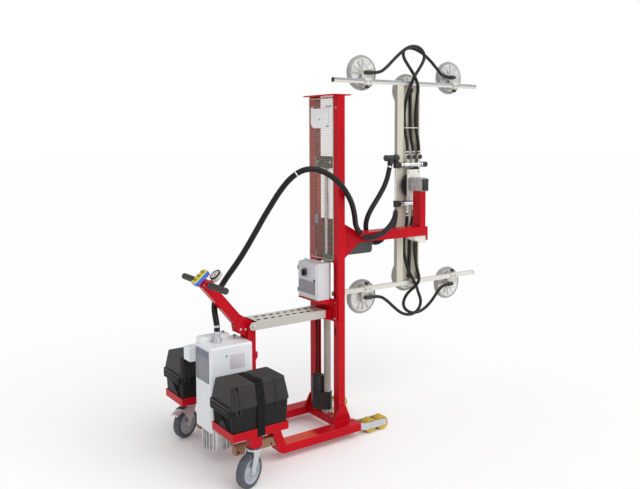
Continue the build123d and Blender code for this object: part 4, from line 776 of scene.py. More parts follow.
# Control box: a light grey steel box on the shelf, with a raised door, a bare grey plate, a rotary
# switch and a green lamp on top. A green terminal block sits behind it, in the mast.
box_grey = finish(
    "light_grey_enamel", (0.60, 0.59, 0.61), (0.54, 0.53, 0.55), patch=5, rough=0.36, grain=700, bump=0.08,
    edge=(0.70, 0.70, 0.71),
)
black_plastic = finish(
    "black_plastic", (0.018, 0.017, 0.018), (0.010, 0.010, 0.011), patch=30, rough=0.42, grain=500,
    bump=0.10, edge=(0.05, 0.05, 0.05),
)
mint_lamp = finish(
    "mint_lamp_glass", (0.16, 0.72, 0.52), (0.10, 0.58, 0.42), patch=40, rough=0.15, grain=300, bump=0.02,
    coat=0.6,
)
terminal_green = finish(
    "green_terminal_plastic", (0.06, 0.20, 0.12), (0.04, 0.14, 0.09), patch=30, rough=0.5, grain=300, bump=0.1
)
soft_edged("control_box", box_grey)
soft_edged("switch_knob", black_plastic, 0.0012)
door_x = -0.152
switch_y = 0.020
switch_z = 0.998
plate_piece(
    "control_box_plate", spot(door_x - 0.0006, 0, 0.911), (0.0012, 0.176, 0.078), 0.003, 0, 0.0003,
    plate_grey,
)
shape = bmesh.new()
plate(shape, spot(door_x - 0.0032, switch_y, switch_z), (0.0008, 0.050, 0.050), 0.004, 0, 0.0003)
for hinge_z in (0.880, 1.018):
    slab(shape, spot(-0.1475, 0.0985, hinge_z), (0.012, 0.008, 0.026), 0.002)
slab(shape, spot(door_x - 0.002, -0.080, 0.960), (0.006, 0.014, 0.014), 0.002)
place_piece("control_box_trim", shape, black_plastic, "chassis")
plate_piece(
    "switch_face_plate", spot(door_x - 0.0037, switch_y, switch_z), (0.0006, 0.042, 0.042), 0.003, 0, 0.0002,
    aluminium,
)
lamp_profile = [(0, 0.016), (0.0055, 0.0155), (0.0095, 0.0125), (0.0122, 0.0080), (0.0126, 0.0), (0, 0.0)]
turned_piece(
    "signal_lamp_glass", lamp_profile, spot(-0.118, 0.062, 1.0596), upward, 32, mint_lamp, "chassis",
)
shape = bmesh.new()
slab(shape, spot(-0.012, -0.040, 1.082), (0.020, 0.110, 0.030), 0.002)
for block_y in (-0.080, -0.056, -0.032, -0.008):
    slab(shape, spot(-0.024, block_y, 1.092), (0.004, 0.016, 0.016), 0.001)
place_piece("terminal_block", shape, terminal_green, "chassis")


# Lift actuator: a grey steel tube on a zinc clevis, with a black gear motor beside it and its lead
# clipped up to the bracket. The chrome rod lifts the carriage.
tube_grey = finish(
    "grey_actuator_tube", (0.46, 0.44, 0.40), (0.38, 0.36, 0.33), patch=12, rough=0.38, grain=400, bump=0.06,
    metallic=0.3, edge=(0.6, 0.58, 0.55),
)
chrome = finish(
    "bright_chrome", (0.80, 0.81, 0.82), (0.68, 0.69, 0.70), patch=40, rough=0.14, grain=200, bump=0.02,
    metallic=1.0,
)
soft_edged("actuator_tube", tube_grey, 0.001)
soft_edged("actuator_motor", black_plastic, 0.002, 3)
soft_edged("actuator_rod", chrome, 0.001)
motor_x = -0.034
motor_y = 0.0545
motor_top = 0.326
gland_profile = [(0, 0.012), (0.006, 0.012), (0.008, 0.004), (0.012, 0.0), (0, 0.0)]
shape = bmesh.new()
for band_z in (0.232, 0.244, 0.304):
    ring(shape, spot(motor_x, motor_y, band_z), upward, 0.0395, 0.0018, 0.005, 48)
turned(shape, gland_profile, spot(motor_x, motor_y, motor_top), upward, 24)
place_piece("actuator_motor_bands", shape, black_plastic, "chassis")
clevis_z = 0.104
shape = bmesh.new()
for side in (-1, 1):
    bolt(shape, spot(0, side * 0.025, clevis_z), (0, side, 0), 0.018)
bolt(shape, spot(-0.022, 0, clevis_z), backward, 0.016)
place_piece("clevis_bolts", shape, bolt_zinc, "chassis")


# Perforated beam: a cream channel between the mast and the rear post with two rows of square
# holes, closed below by a dark cover, its dark tone partly painted shade, and pivoted on bolts at its rounded
# end.
def cream_coat(name, colour, shade, edge=None):
    """Sprayed cream paint with a low gloss."""
    return finish(
        name, colour, shade, patch=5, rough=0.36, grain=600, bump=0.05, coat=0.1, gloss=0.4, edge=edge
    )


# Painted shade: the cover inside the beam is near black, partly standing for the shade seen through the
# square holes.
inner_cover_shade = finish(
    "inner_cover_painted_shade", (0.035, 0.033, 0.030), (0.022, 0.021, 0.020), patch=20, rough=0.7, grain=300,
    bump=0.1, gloss=0.2,
)
beam_cream = cream_coat("beam_cream_paint", (0.62, 0.60, 0.54), (0.55, 0.53, 0.48))
# Painted shade: the beam's right-facing faces are darkened towards grey.
soft_edged("perforated_beam", painted_side_light(beam_cream, rightward, (0.42, 0.40, 0.37), 0.6), 0.0015)
cover_x = -0.303
cover_l = 0.470
shape = bmesh.new()
slab(shape, spot(cover_x, 0, 0.7265), (cover_l, 0.1432, 0.003), 0.0008, 1)
for wall_y in (-0.0709, 0.0709):
    slab(shape, spot(cover_x, wall_y, 0.744), (cover_l, 0.0014, 0.036), 0.0003, 1)
place_piece("beam_inner_cover", shape, inner_cover_shade, "chassis")
shape = bmesh.new()
for side in (-1, 1):
    bolt(shape, spot(-0.569, side * 0.075, 0.744), (0, side, 0), 0.017)
place_piece("beam_pivot_bolts", shape, bolt_zinc, "chassis")


# Handle: a red sloping arm bolted through the post, with a steel tube handlebar across its end
# and a ribbed rubber grip pushed on each side.
grip_rubber = finish(
    "grip_rubber", (0.040, 0.036, 0.036), (0.026, 0.024, 0.024), patch=40, rough=0.62, grain=300, bump=0.2,
    edge=(0.07, 0.065, 0.065),
)
soft_edged("handle_arm", red_paint)
shape = bmesh.new()
for side in (-1, 1):
    for bolt_x, bolt_z in ((-0.630, 0.728), (-0.598, 0.724)):
        bolt(shape, spot(bolt_x, side * 0.032, bolt_z), (0, side, 0), 0.009)
place_piece("arm_bolts", shape, bolt_zinc, "chassis")
handle_x = -0.838
handle_z = 1.014
grip_start = 0.082
grip_l = 0.180
grip_bore = 0.0142
grip_ribs = 14
rib_run = (grip_l - 0.020) / grip_ribs
grip_profile = [(grip_bore, 0.0), (0.0195, 0.0), (0.0205, 0.003), (0.0195, 0.006)]
for index in range(grip_ribs):
    foot = 0.008 + index * rib_run
    grip_profile += [(0.0168, foot), (0.0180, foot + 0.3 * rib_run), (0.0180, foot + 0.7 * rib_run)]
grip_profile += [
    (0.0172, grip_l - 0.012), (0.0180, grip_l - 0.010), (0.0180, grip_l - 0.004), (0.0150, grip_l),
    (0, grip_l), (0, grip_l - 0.006), (grip_bore, grip_l - 0.006), (grip_bore, 0.0),
]
shape = bmesh.new()
for side in (-1, 1):
    turned(shape, grip_profile, spot(handle_x, side * grip_start, handle_z), (0, side, 0), 32)
piece = place_piece("handle_grips_ribbed", shape, grip_rubber, "chassis")
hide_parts("handle_grips")


# Pendant and gauge: a moulded control pendant in three colours on the arm's end, with rocker keys
# that drive the lift, tilt and turn, and a round vacuum gauge clamped beside it.
def layered(material, middle, up, layers):
    """Colours a moulding in layers by the height above a plane through a place."""
    tree = material.node_tree
    base = tree.nodes["Principled BSDF"].inputs["Base Color"]
    surface = base.links[0].from_socket
    place = add_node(tree, "TexCoord").outputs["Object"]
    level = add_node(tree, "VectorMath", {1: up}, {0: place}, operation="DOT_PRODUCT").outputs["Value"]
    for limit, colour in layers:
        below = add_node(tree, "Math", {1: middle.dot(up) + limit}, {0: level}, operation="LESS_THAN")
        surface = covered(tree, surface, colour, below.outputs["Value"])
    tree.links.new(surface, base)
    return material


pendant_tilt = radians(40)
pendant_place = spot(-0.856, 0.008, 1.046)
pendant_up = Vector((-sin(pendant_tilt), 0, cos(pendant_tilt)))
pendant_along = Vector((cos(pendant_tilt), 0, sin(pendant_tilt)))
pendant_turn = Matrix.Rotation(-pendant_tilt, 4, "Y")
pendant_yellow = finish(
    "pendant_plastic", (0.72, 0.62, 0.02), (0.66, 0.55, 0.015), patch=30, rough=0.38, grain=500, bump=0.06
)
key_yellow = finish(
    "key_plastic", (0.74, 0.66, 0.03), (0.68, 0.58, 0.02), patch=30, rough=0.38, grain=500, bump=0.06
)
pendant_layers = ((0.0112, (0.010, 0.19, 0.78)), (-0.0080, (0.42, 0.02, 0.20)))
soft_edged("pendant_case", layered(pendant_yellow, pendant_place, pendant_up, pendant_layers), 0.001)
for node, along in (("lift_key", -0.030), ("tilt_key", 0.0), ("turn_key", 0.030)):
    soft_edged(node, key_yellow, 0.0012)
    shape = bmesh.new()
    for across in (-0.0115, 0.0115):
        place = pendant_place + pendant_along * along + Vector((0, across, 0)) + pendant_up * 0.0174
        slab(shape, place, (0.014, 0.013, 0.0022), 0.0008, 2, pendant_turn)
    place_piece(node + "_caps", shape, black_plastic, frame["nodes"][node]["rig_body"])
gauge_cream = finish(
    "gauge_case", (0.62, 0.61, 0.58), (0.52, 0.51, 0.49), patch=30, rough=0.25, grain=300, bump=0.03, coat=0.4
)
dial_white = finish(
    "gauge_dial", (0.80, 0.80, 0.78), (0.74, 0.74, 0.72), patch=50, rough=0.4, grain=400, bump=0.02
)
gauge_place = spot(-0.785, -0.044, 1.056)
clamp_edge = -0.0345
gauge_paint = layered(gauge_cream, gauge_place, pendant_along, ((clamp_edge, red_shade),))
soft_edged("vacuum_gauge", gauge_paint, 0.001)
bezel_profile = [
    (0.0275, 0.0140), (0.0300, 0.0165), (0.0335, 0.0160), (0.0342, 0.0130), (0.0342, 0.0070),
    (0.0329, 0.0060), (0.0329, 0.0120), (0.0275, 0.0140),
]
dial_profile = [(0, 0.0118), (0.0278, 0.0118), (0.0278, 0.0104), (0, 0.0104)]
pin_profile = [(0, 0.0142), (0.003, 0.0140), (0.0035, 0.0118), (0, 0.0118)]
turned_piece(
    "gauge_bezel", bezel_profile, gauge_place, pendant_up, 48, black_plastic, "chassis"
)
turned_piece(
    "gauge_dial_disc", dial_profile, gauge_place, pendant_up, 40, dial_white, "chassis"
)


def dial_bar(shape, angle, reach, rise, size):
    """Thin bar on the gauge's dial at an angle in degrees, a reach out from the middle."""
    turn = pendant_turn @ Matrix.Rotation(radians(angle), 4, "Z")
    slab(shape, gauge_place + turn @ Vector((reach, 0, rise)), size, 0, 1, turn)


dial_marks = 11
shape = bmesh.new()
for index in range(dial_marks):
    dial_bar(shape, -135 + 27 * index, 0.0225, 0.0121, (0.006, 0.0012, 0.0006))
dial_bar(shape, 40, 0.006, 0.0124, (0.030, 0.0016, 0.0008))
turned(shape, pin_profile, gauge_place, pendant_up, 20)
place_piece("gauge_marks", shape, hole_shade_and_print, "chassis")


# Carriage: a red welded frame that slides in the mast on white nylon pads, under a dark steel
# crosshead on the actuator's rod, with a clip for the main hose.
dark_steel = finish(
    "dark_steel", (0.075, 0.066, 0.070), (0.050, 0.045, 0.048), patch=14, rough=0.45, grain=400, bump=0.12,
    metallic=0.5, edge=(0.16, 0.15, 0.15),
)
nylon = finish(
    "white_nylon", (0.66, 0.65, 0.62), (0.58, 0.57, 0.54), patch=20, rough=0.5, grain=400, bump=0.06
)
# Painted shade: the carriage frame's rear-facing faces are darkened to a dark grey-brown.
carriage_rear_shade = (0.085, 0.050, 0.045)
soft_edged("carriage_frame", painted_side_light(gloss_red("carriage_red_paint"), backward, carriage_rear_shade, 0.85))
soft_edged("crosshead", dark_steel)
soft_edged("guide_pads", nylon, 0.001)
rod_nut_profile = [(0, 0.010), (0.020, 0.010), (0.022, 0.007), (0.022, 0.0), (0, 0.0)]
shape = bmesh.new()
for side in (-1, 1):
    for bolt_z in (1.075, 1.281):
        bolt(shape, spot(0.039, side * 0.078, bolt_z), forward, 0.013)
    bolt(shape, spot(-0.018, side * 0.066, 1.668), backward, 0.014)
turned(shape, rod_nut_profile, spot(0, 0, 1.622), upward, 32)
place_piece("carriage_bolts", shape, bolt_zinc, "carriage")


# Tilt drive: a gear motor under the carriage's nose, in a dark moulded cover of two halves that
# screws hold together.
cover_grey = finish(
    "dark_grey_cover", (0.055, 0.053, 0.053), (0.040, 0.038, 0.038), patch=12, rough=0.5, grain=500,
    bump=0.2, edge=(0.09, 0.088, 0.088),
)
soft_edged("tilt_motor", cover_grey, 0.002, 3)
shaft_y = 0.030
shape = bmesh.new()
slab(shape, spot(0.253, shaft_y, 1.1465), (0.2080, 0.0815, 0.0025), 0.0008)
for screw_x in (0.180, 0.320):
    for side in (-1, 1):
        turned(shape, screw_profile, spot(screw_x, shaft_y + side * 0.040, 1.128), (0, side, 0), 16)
place_piece("tilt_motor_seam", shape, black_plastic, "carriage")


# Boom: a red square tube on the tilting shaft with an upright post at its end, a cream wedge below
# and a cream bearing plate for the turning head. The shaft is eased to turn free in its bore.
boom_piece = soft_edged("boom_arm", red_paint)
shaft_z = 1.180
shaft_end = 0.3619
shaft_ease = 0.97
for vertex in boom_piece.data.vertices:
    x, y, z = vertex.co - mast_foot
    if x < shaft_end:
        vertex.co = spot(x, shaft_y + (y - shaft_y) * shaft_ease, shaft_z + (z - shaft_z) * shaft_ease)
bracket_cream = cream_coat(
    "bracket_cream_paint", (0.76, 0.74, 0.68), (0.69, 0.67, 0.61), edge=(0.82, 0.80, 0.75)
)
soft_edged("arm_bracket", bracket_cream, 0.0015)
shape = bmesh.new()
for side in (-1, 1):
    bolt(shape, spot(0.831, shaft_y + side * 0.034, 1.136), forward, 0.013)
for bolt_x in (0.772, 0.866):
    for bolt_z in (1.395, 1.579):
        bolt(shape, spot(bolt_x, 0.112, bolt_z), rightward, 0.012)
place_piece("boom_bolts", shape, bolt_zinc, "boom")


# Rotation gearbox: a worm gearbox in a ribbed aluminium casting on top of the post, with a black
# end cap held by four screws.
cast_grey = finish(
    "sand_cast_aluminium", (0.62, 0.61, 0.60), (0.42, 0.41, 0.41), patch=60, rough=0.45, grain=260, bump=0.5,
    metallic=0.45, edge=(0.40, 0.39, 0.39),
)
soft_edged("rotation_gearbox", cast_grey, 0.0015)
gearbox_x = 0.797
gearbox_z = 1.495
gearbox_ribs = 6
gearbox_rib_pitch = 0.018
shape = bmesh.new()
for index in range(gearbox_ribs):
    rib_y = index * gearbox_rib_pitch
    slab(shape, spot(gearbox_x, rib_y, 1.5415), (0.050, 0.005, 0.005), 0.001)
    slab(shape, spot(0.7665, rib_y, gearbox_z), (0.004, 0.005, 0.070), 0.001)
place_piece("gearbox_ribs", shape, cast_grey, "boom")
shape = bmesh.new()
slab(shape, spot(gearbox_x, -0.0285, gearbox_z), (0.0495, 0.0130, 0.0815), 0.004, 3)
for screw_x in (0.779, 0.815):
    for screw_z in (1.462, 1.528):
        turned(shape, screw_profile, spot(screw_x, -0.0335, screw_z), rightward, 16)
place_piece("gearbox_cap", shape, black_plastic, "boom")


# Turning head: a black swivel disc that carries a cream lipped channel, with a silver crossbar at
# each end closed by black plugs.
disc_black = finish(
    "black_turned_steel", (0.014, 0.014, 0.015), (0.009, 0.009, 0.010), patch=20, rough=0.35, grain=300,
    bump=0.05, metallic=0.4, edge=(0.08, 0.08, 0.08),
)
channel_cream = cream_coat("channel_cream_paint", (0.64, 0.61, 0.50), (0.57, 0.54, 0.44))
bar_silver = finish(
    "silver_crossbar", (0.42, 0.45, 0.47), (0.33, 0.36, 0.39), patch=9, rough=0.32, grain=400, bump=0.04,
    metallic=0.35, edge=(0.60, 0.62, 0.63),
)
ground = spot(0, 0, 0)
# Painted light: both crossbars are one kind of bar, coloured light cream below this height, so only the upper
# bar's top half keeps the grey-blue silver.
bar_painted_light_tone = ((2.186, (0.70, 0.685, 0.62)),)
soft_edged("swivel_disc", disc_black, 0.0015)
# Painted shade: the channel's rear-facing faces are darkened to a dark grey.
soft_edged("main_beam", painted_side_light(channel_cream, backward, (0.24, 0.235, 0.22), 0.8), 0.0010)
soft_edged("crossbars", layered(bar_silver, ground, Vector(upward), bar_painted_light_tone), 0.0020, 3)
bar_y = 0.173
bar_levels = (2.187, 0.793)
shape = bmesh.new()
for bar_z in bar_levels:
    for end_x, out in ((0.171, -1), (1.479, 1)):
        slab(shape, spot(end_x - out * 0.0035, bar_y, bar_z), (0.0070, 0.0305, 0.0305), 0.002)
place_piece("crossbar_plugs", shape, black_plastic, "head")
turn_x = 0.805
turn_z = 1.487
disc_bolts = 6
disc_bolt_r = 0.062
shape = bmesh.new()
for index in range(disc_bolts):
    angle = radians(60 * index + 30)
    bolt_place = spot(turn_x + disc_bolt_r * cos(angle), 0.1325, turn_z + disc_bolt_r * sin(angle))
    bolt(shape, bolt_place, leftward, 0.012)
place_piece("swivel_disc_bolts", shape, bolt_zinc, "head")


# Suction cups: cast ribbed aluminium plates with grey rubber rings, on zinc clamps that slide along
# the crossbars and lock with black knobs.
yellow_zinc = finish(
    "yellow_passivated_zinc", (0.74, 0.72, 0.65), (0.62, 0.60, 0.53), patch=25, rough=0.34, grain=300,
    bump=0.06, metallic=0.4, edge=(0.82, 0.80, 0.70),
)
cup_rubber_grey = finish(
    "grey_cup_rubber", (0.36, 0.36, 0.35), (0.30, 0.30, 0.29), patch=25, rough=0.6, grain=300, bump=0.12,
    edge=(0.44, 0.44, 0.43),
)
cup_alloy = finish(
    "bright_cup_casting", (0.82, 0.82, 0.81), (0.62, 0.62, 0.62), patch=20, rough=0.30, grain=500, bump=0.08,
    metallic=0.6, edge=(0.92, 0.92, 0.92),
)
soft_edged("cup_mounts", yellow_zinc, 0.0012)
soft_edged("cup_plates", cup_alloy, 0.0008, 1)
soft_edged("cup_seals", cup_rubber_grey, 0.0010)
soft_edged("clamp_knobs", black_plastic, 0.0025, 3)
cup_columns = (0.452, 1.263)
cup_levels = (2.247, 0.730)
cup_outs = (1, -1)
shape = bmesh.new()
for cup_z, bar_z, out in zip(cup_levels, bar_levels, cup_outs):
    for cup_x in cup_columns:
        for shift in (-0.018, 0.018):
            bolt(shape, spot(cup_x + shift, 0.154, bar_z), rightward, 0.012)
            bolt(shape, spot(cup_x + shift, 0.188, cup_z + out * 0.012), rightward, 0.010)
place_piece("cup_mount_bolts", shape, bolt_zinc, "head")
knob_lobes = 6
knob_rise = 0.038
knob_r = 0.0125
lobe_profile = [(0, -0.0065), (0.0035, -0.0060), (0.0042, 0.0), (0.0035, 0.0060), (0, 0.0065)]
shape = bmesh.new()
for bar_z, out in zip(bar_levels, cup_outs):
    for cup_x in cup_columns:
        for index in range(knob_lobes):
            angle = 2 * pi * index / knob_lobes
            lobe = spot(cup_x + knob_r * cos(angle), bar_y + knob_r * sin(angle), bar_z - out * knob_rise)
            turned(shape, lobe_profile, lobe, upward, 12)
place_piece("clamp_knob_lobes", shape, black_plastic, "head")
corner_cups = [(cup_x, cup_z) for cup_z in cup_levels for cup_x in cup_columns]
middle_cups = [(0.850, 2.140), (0.850, 0.838)]
shape = bmesh.new()
for cup_x, cup_z in corner_cups + middle_cups:
    ring(shape, spot(cup_x, 0.2155, cup_z), leftward, 0.0880, 0.0110, 0.0020, 64)
    ring(shape, spot(cup_x, 0.2150, cup_z), leftward, 0.0500, 0.0030, 0.0020, 48)
place_piece("cup_plate_rims", shape, cup_alloy, "head")


# Vacuum pipework: chromed manifolds with three ports each, black valves and elbows, and the short
# hoses to the middle cups inside the channel.
fitting_black = (0.020, 0.020, 0.021)
fitting_shade = (0.012, 0.012, 0.013)
pipe_black = finish(
    "black_fitting_plastic", fitting_black, fitting_shade, patch=40, rough=0.36, grain=400, bump=0.08,
    edge=(0.06, 0.06, 0.06),
)
valve_mix = finish(
    "valve_bodies", fitting_black, fitting_shade, patch=40, rough=0.36, grain=400, bump=0.08
)
valve_levels = ((1.704, (0.56, 0.55, 0.53)), (1.656, fitting_black))
lane_x = 0.838
lane_pitch = 0.053
lane_places = [lane_x + lane * lane_pitch for lane in (-1, 0, 1)]
lane_low = 0.853
lane_high = 2.125
manifold_y = 0.140
manifold_levels = (1.626, 1.358)
manifold_r = 0.0168
manifold_end = 0.716
port_levels = (1.702, 1.290)
elbow_back = 0.560
room = 0.0005


def made_anew(point):
    """True on the hoses in the channel and the inlet elbows, which are made as pieces below."""
    x, y, z = point - mast_foot
    if elbow_back < x < manifold_end + room:
        return 1.30 < z < 1.42 or 1.55 < z < 1.75
    in_lane = abs(x - lane_x) < 0.0116 and 0.128 < y < 0.1862
    upper = port_levels[0] - room < z < lane_high + room
    lower = lane_low - room < z < port_levels[1] + room
    return in_lane and (upper or lower)


soft_edged("manifolds", chrome, 0.0008)
layered(valve_mix, ground, Vector(upward), valve_levels)
soft_edged("vacuum_pipework", valve_mix, 0.0015, 2, made_anew)
shape = bmesh.new()
for port_z, side, manifold_z in zip(port_levels, (-1, 1), manifold_levels):
    for port_x in lane_places:
        bar(shape, 6, 0.0130, 0.012, spot(port_x, manifold_y, port_z + side * 0.010))
        ring(shape, spot(port_x, manifold_y, manifold_z - side * 0.022), upward, 0.0090, 0.0035, 0.008, 20)
        ring(shape, spot(port_x, manifold_y, port_z - side * 0.014), upward, 0.0111, 0.0012, 0.010, 24)
    for collar_x in (0.722, 0.808, 0.866, 0.908):
        ring(shape, spot(collar_x, manifold_y, manifold_z), forward, 0.0169, 0.0025, 0.008, 32)
place_piece("manifold_nuts", shape, chrome, "head")
tee_place = spot(0.8555, manifold_y, 1.588)
tee_profile = [
    (0, -0.0345), (0.0110, -0.0345), (0.0125, -0.032), (0.0125, -0.012), (0.0095, -0.009), (0.0095, 0.009),
    (0.0125, 0.012), (0.0125, 0.032), (0.0110, 0.0345), (0, 0.0345),
]
tee_branch_profile = [(0, 0), (0.008, 0), (0.008, 0.014), (0.010, 0.016), (0.010, 0.024), (0, 0.024)]
valve_profile = [(0, 0), (0.0165, 0), (0.0165, 0.004), (0.0120, 0.006), (0.0120, 0.010), (0, 0.010)]
shape = bmesh.new()
turned(shape, tee_profile, tee_place, forward, 24)
turned(shape, tee_branch_profile, tee_place, upward, 20)
for valve_x in lane_places:
    turned(shape, valve_profile, spot(valve_x, manifold_y - 0.0128, 1.680), rightward, 24)
for ring_x in (0.922, 0.940, 0.956):
    ring(shape, spot(ring_x, manifold_y, manifold_levels[0]), forward, manifold_r, 0.0022, 0.006, 32)
for elbow_x, side in zip(cup_columns, (1, -1)):
    for cup_z in cup_levels:
        for reach in (0.018, 0.036):
            ring(shape, spot(elbow_x + side * reach, bar_y, cup_z), forward, 0.0128, 0.0020, 0.006, 28)
for ring_x in (0.742, 0.902):
    for manifold_z in manifold_levels:
        ring(shape, spot(ring_x, manifold_y, manifold_z), forward, manifold_r, 0.0018, 0.004, 32)
place_piece("pipework_fittings", shape, pipe_black, "head")
inlet_foot = spot(0.681, manifold_y, 0)
hose_end_place = spot(0.6257, 0.138, 1.6345)
hose_end_along = (0.277, 0.108, 0.955)
inlet_profile = [
    (0, 0), (0.0150, 0), (0.0195, 0.004), (0.0215, 0.006), (0.0215, 0.016), (0.0175, 0.019),
    (0.0175, 0.030), (0.0205, 0.033), (0.0205, 0.062), (0.0170, 0.065), (0.0170, 0.076), (0.0215, 0.079),
    (0.0215, 0.112), (0.0195, 0.118), (0.0150, 0.1205), (0, 0.1205),
]
hose_end_profile = [
    (0, 0), (0.0185, 0), (0.0200, 0.002), (0.0200, 0.008), (0.0185, 0.010), (0.0185, 0.016),
    (0.0205, 0.018), (0.0205, 0.030), (0.0165, 0.040), (0, 0.040),
]
upper_drop_profile = [
    (0, 1.605), (0.0150, 1.605), (0.0190, 1.609), (0.0190, 1.640), (0.0210, 1.643), (0.0210, 1.650),
    (0.0180, 1.653), (0.0180, 1.690), (0.0160, 1.6975), (0, 1.6975),
]
elbow_profile = [
    (0, 0), (0.0160, 0), (0.0185, 0.004), (0.0185, 0.018), (0.0205, 0.020), (0.0205, 0.030),
    (0.0190, 0.034), (0, 0.034),
]
lower_drop_profile = [
    (0, 1.338), (0.0140, 1.338), (0.0175, 1.342), (0.0175, 1.372), (0.0195, 1.374), (0.0195, 1.380),
    (0.0150, 1.383), (0, 1.383),
]
shape = bmesh.new()
turned(shape, inlet_profile, spot(0.581, manifold_y, 1.675), forward, 36)
turned(shape, hose_end_profile, hose_end_place, hose_end_along, 36)
turned(shape, upper_drop_profile, inlet_foot, upward, 36)
for manifold_z in manifold_levels:
    turned(shape, elbow_profile, spot(manifold_end - 0.034, manifold_y, manifold_z), forward, 36)
turned(shape, lower_drop_profile, inlet_foot, upward, 36)
place_piece("inlet_elbows", shape, pipe_black, "head")


# Hoses: black rubber suction hose with fine moulded ribs, pushed on nozzles and held by clips,
# loose between the pump, the lifting carriage, the tilting boom and the turning head.
def hose_line(name, route):
    """Points on the smooth line that has the route as its control points."""
    curve = bpy.data.curves.new(name + "_line", "CURVE")
    curve.dimensions = "3D"
    curve.resolution_u = 10
    spline = curve.splines.new("NURBS")
    spline.points.add(len(route) - 1)
    for point, place in zip(spline.points, route):
        point.co = (*spot(*place), 1)
    spline.order_u = 3
    spline.use_endpoint_u = True
    holder = bpy.data.objects.new(name + "_line", curve)
    scene.collection.objects.link(holder)
    bpy.context.view_layer.update()
    line = bpy.data.meshes.new_from_object(holder)
    points = [vertex.co.copy() for vertex in line.vertices]
    bpy.data.objects.remove(holder)
    bpy.data.curves.remove(curve)
    bpy.data.meshes.remove(line)
    return points


def tube_shape(line, radius, sides=18):
    """Closed tube along a line, with its distance along the line kept for the material."""
    shape = bmesh.new()
    along = shape.verts.layers.float.new("along")
    ahead = (line[1] - line[0]).normalized()
    start = Matrix.Translation(line[0]) @ facing(ahead)
    bmesh.ops.create_circle(shape, cap_ends=False, segments=sides, radius=radius, matrix=start)
    first = shape.edges[:]
    edges = first
    distance = 0.0
    for index in range(1, len(line)):
        step = line[index] - line[index - 1]
        distance += step.length
        heading = (line[min(index + 1, len(line) - 1)] - line[index - 1]).normalized()
        made = bmesh.ops.extrude_edge_only(shape, edges=edges)["geom"]
        rim = [item for item in made if isinstance(item, bmesh.types.BMVert)]
        fresh = set(rim)
        drawn = [item for item in made if isinstance(item, bmesh.types.BMEdge)]
        edges = [edge for edge in drawn if fresh.issuperset(edge.verts)]
        bmesh.ops.translate(shape, verts=rim, vec=step)
        bend = ahead.rotation_difference(heading).to_matrix()
        bmesh.ops.rotate(shape, verts=rim, cent=line[index], matrix=bend)
        ahead = heading
        for vertex in rim:
            vertex[along] = distance
    for loop in (first, edges):
        bmesh.ops.contextual_create(shape, geom=loop)
    bmesh.ops.recalc_face_normals(shape, faces=shape.faces)
    return shape


def hose_rubber(name, pitch, colour, shade):
    """Dark rubber with shallow ribs every pitch along the hose."""
    material = finish(name, colour, shade, patch=30, rough=0.34, grain=500, bump=0.03, gloss=0.28)
    tree = material.node_tree
    along = add_node(tree, "Attribute", attribute_name="along").outputs["Fac"]
    turns = add_node(tree, "Math", {1: 2 * pi / pitch}, {0: along}, operation="MULTIPLY").outputs["Value"]
    wave = add_node(tree, "Math", feeds={0: turns}, operation="SINE").outputs["Value"]
    raised(material, wave, 0.25)
    return material


main_hose_d = 0.034


def hose_band(line, index, wall, width):
    """Band drawn tight round the main hose at one point of its line."""
    shape = bmesh.new()
    along = line[index + 1] - line[index - 1]
    ring(shape, line[index], along, main_hose_d / 2 - 0.0005, wall, width, 32)
    return shape


lift_route = [
    (-0.763, 0, 0.733), (-0.763, 0, 0.770), (-0.762, 0.026, 0.822), (-0.752, 0.056, 0.876),
    (-0.718, 0.070, 0.940), (-0.665, 0.066, 1.015), (-0.600, 0.034, 1.112), (-0.530, -0.005, 1.245),
    (-0.467, -0.040, 1.374), (-0.378, -0.095, 1.541), (-0.311, -0.140, 1.618), (-0.244, -0.175, 1.642),
    (-0.153, -0.198, 1.620), (-0.041, -0.200, 1.545), (0.052, -0.176, 1.442), (0.118, -0.126, 1.348),
    (0.170, -0.070, 1.251), (0.220, -0.056, 1.215),
]
tilt_route = [
    (0.220, -0.056, 1.215), (0.265, -0.0434, 1.1826), (0.326, -0.042, 1.176), (0.384, -0.043, 1.188),
    (0.440, -0.045, 1.216), (0.489, -0.042, 1.254), (0.532, -0.022, 1.292), (0.570, 0.016, 1.314),
    (0.606, 0.056, 1.318), (0.634, 0.088, 1.298), (0.642, 0.102, 1.262), (0.630, 0.104, 1.226),
    (0.606, 0.102, 1.198), (0.576, 0.102, 1.172),
]
turn_route = [
    (0.576, 0.102, 1.172), (0.546, 0.102, 1.146), (0.510, 0.104, 1.120), (0.466, 0.106, 1.112),
    (0.424, 0.108, 1.134), (0.400, 0.108, 1.178), (0.390, 0.108, 1.228), (0.400, 0.108, 1.280),
    (0.430, 0.108, 1.332), (0.474, 0.110, 1.384), (0.524, 0.115, 1.440), (0.574, 0.122, 1.506),
    (0.608, 0.131, 1.574), (0.626, 0.138, 1.636),
]
main_rubber = hose_rubber("ribbed_hose_rubber", 0.007, (0.006, 0.0055, 0.005), (0.003, 0.003, 0.003))
white_tie = finish(
    "white_nylon_tie", (0.80, 0.80, 0.78), (0.72, 0.72, 0.70), patch=60, rough=0.45, grain=400, bump=0.04
)
crossings = [
    ("main_hose_lift", lift_route, "chassis", "carriage", 1.809),
    ("main_hose_tilt", tilt_route, "carriage", "boom", 0.668),
    ("main_hose_turn", turn_route, "boom", "head", 0.753),
]
lift_tie_x = spot(-0.311, 0, 0).x
tie_wall = 0.0022
tie_w = 0.007
clip_wall = 0.0020
clip_w = 0.012
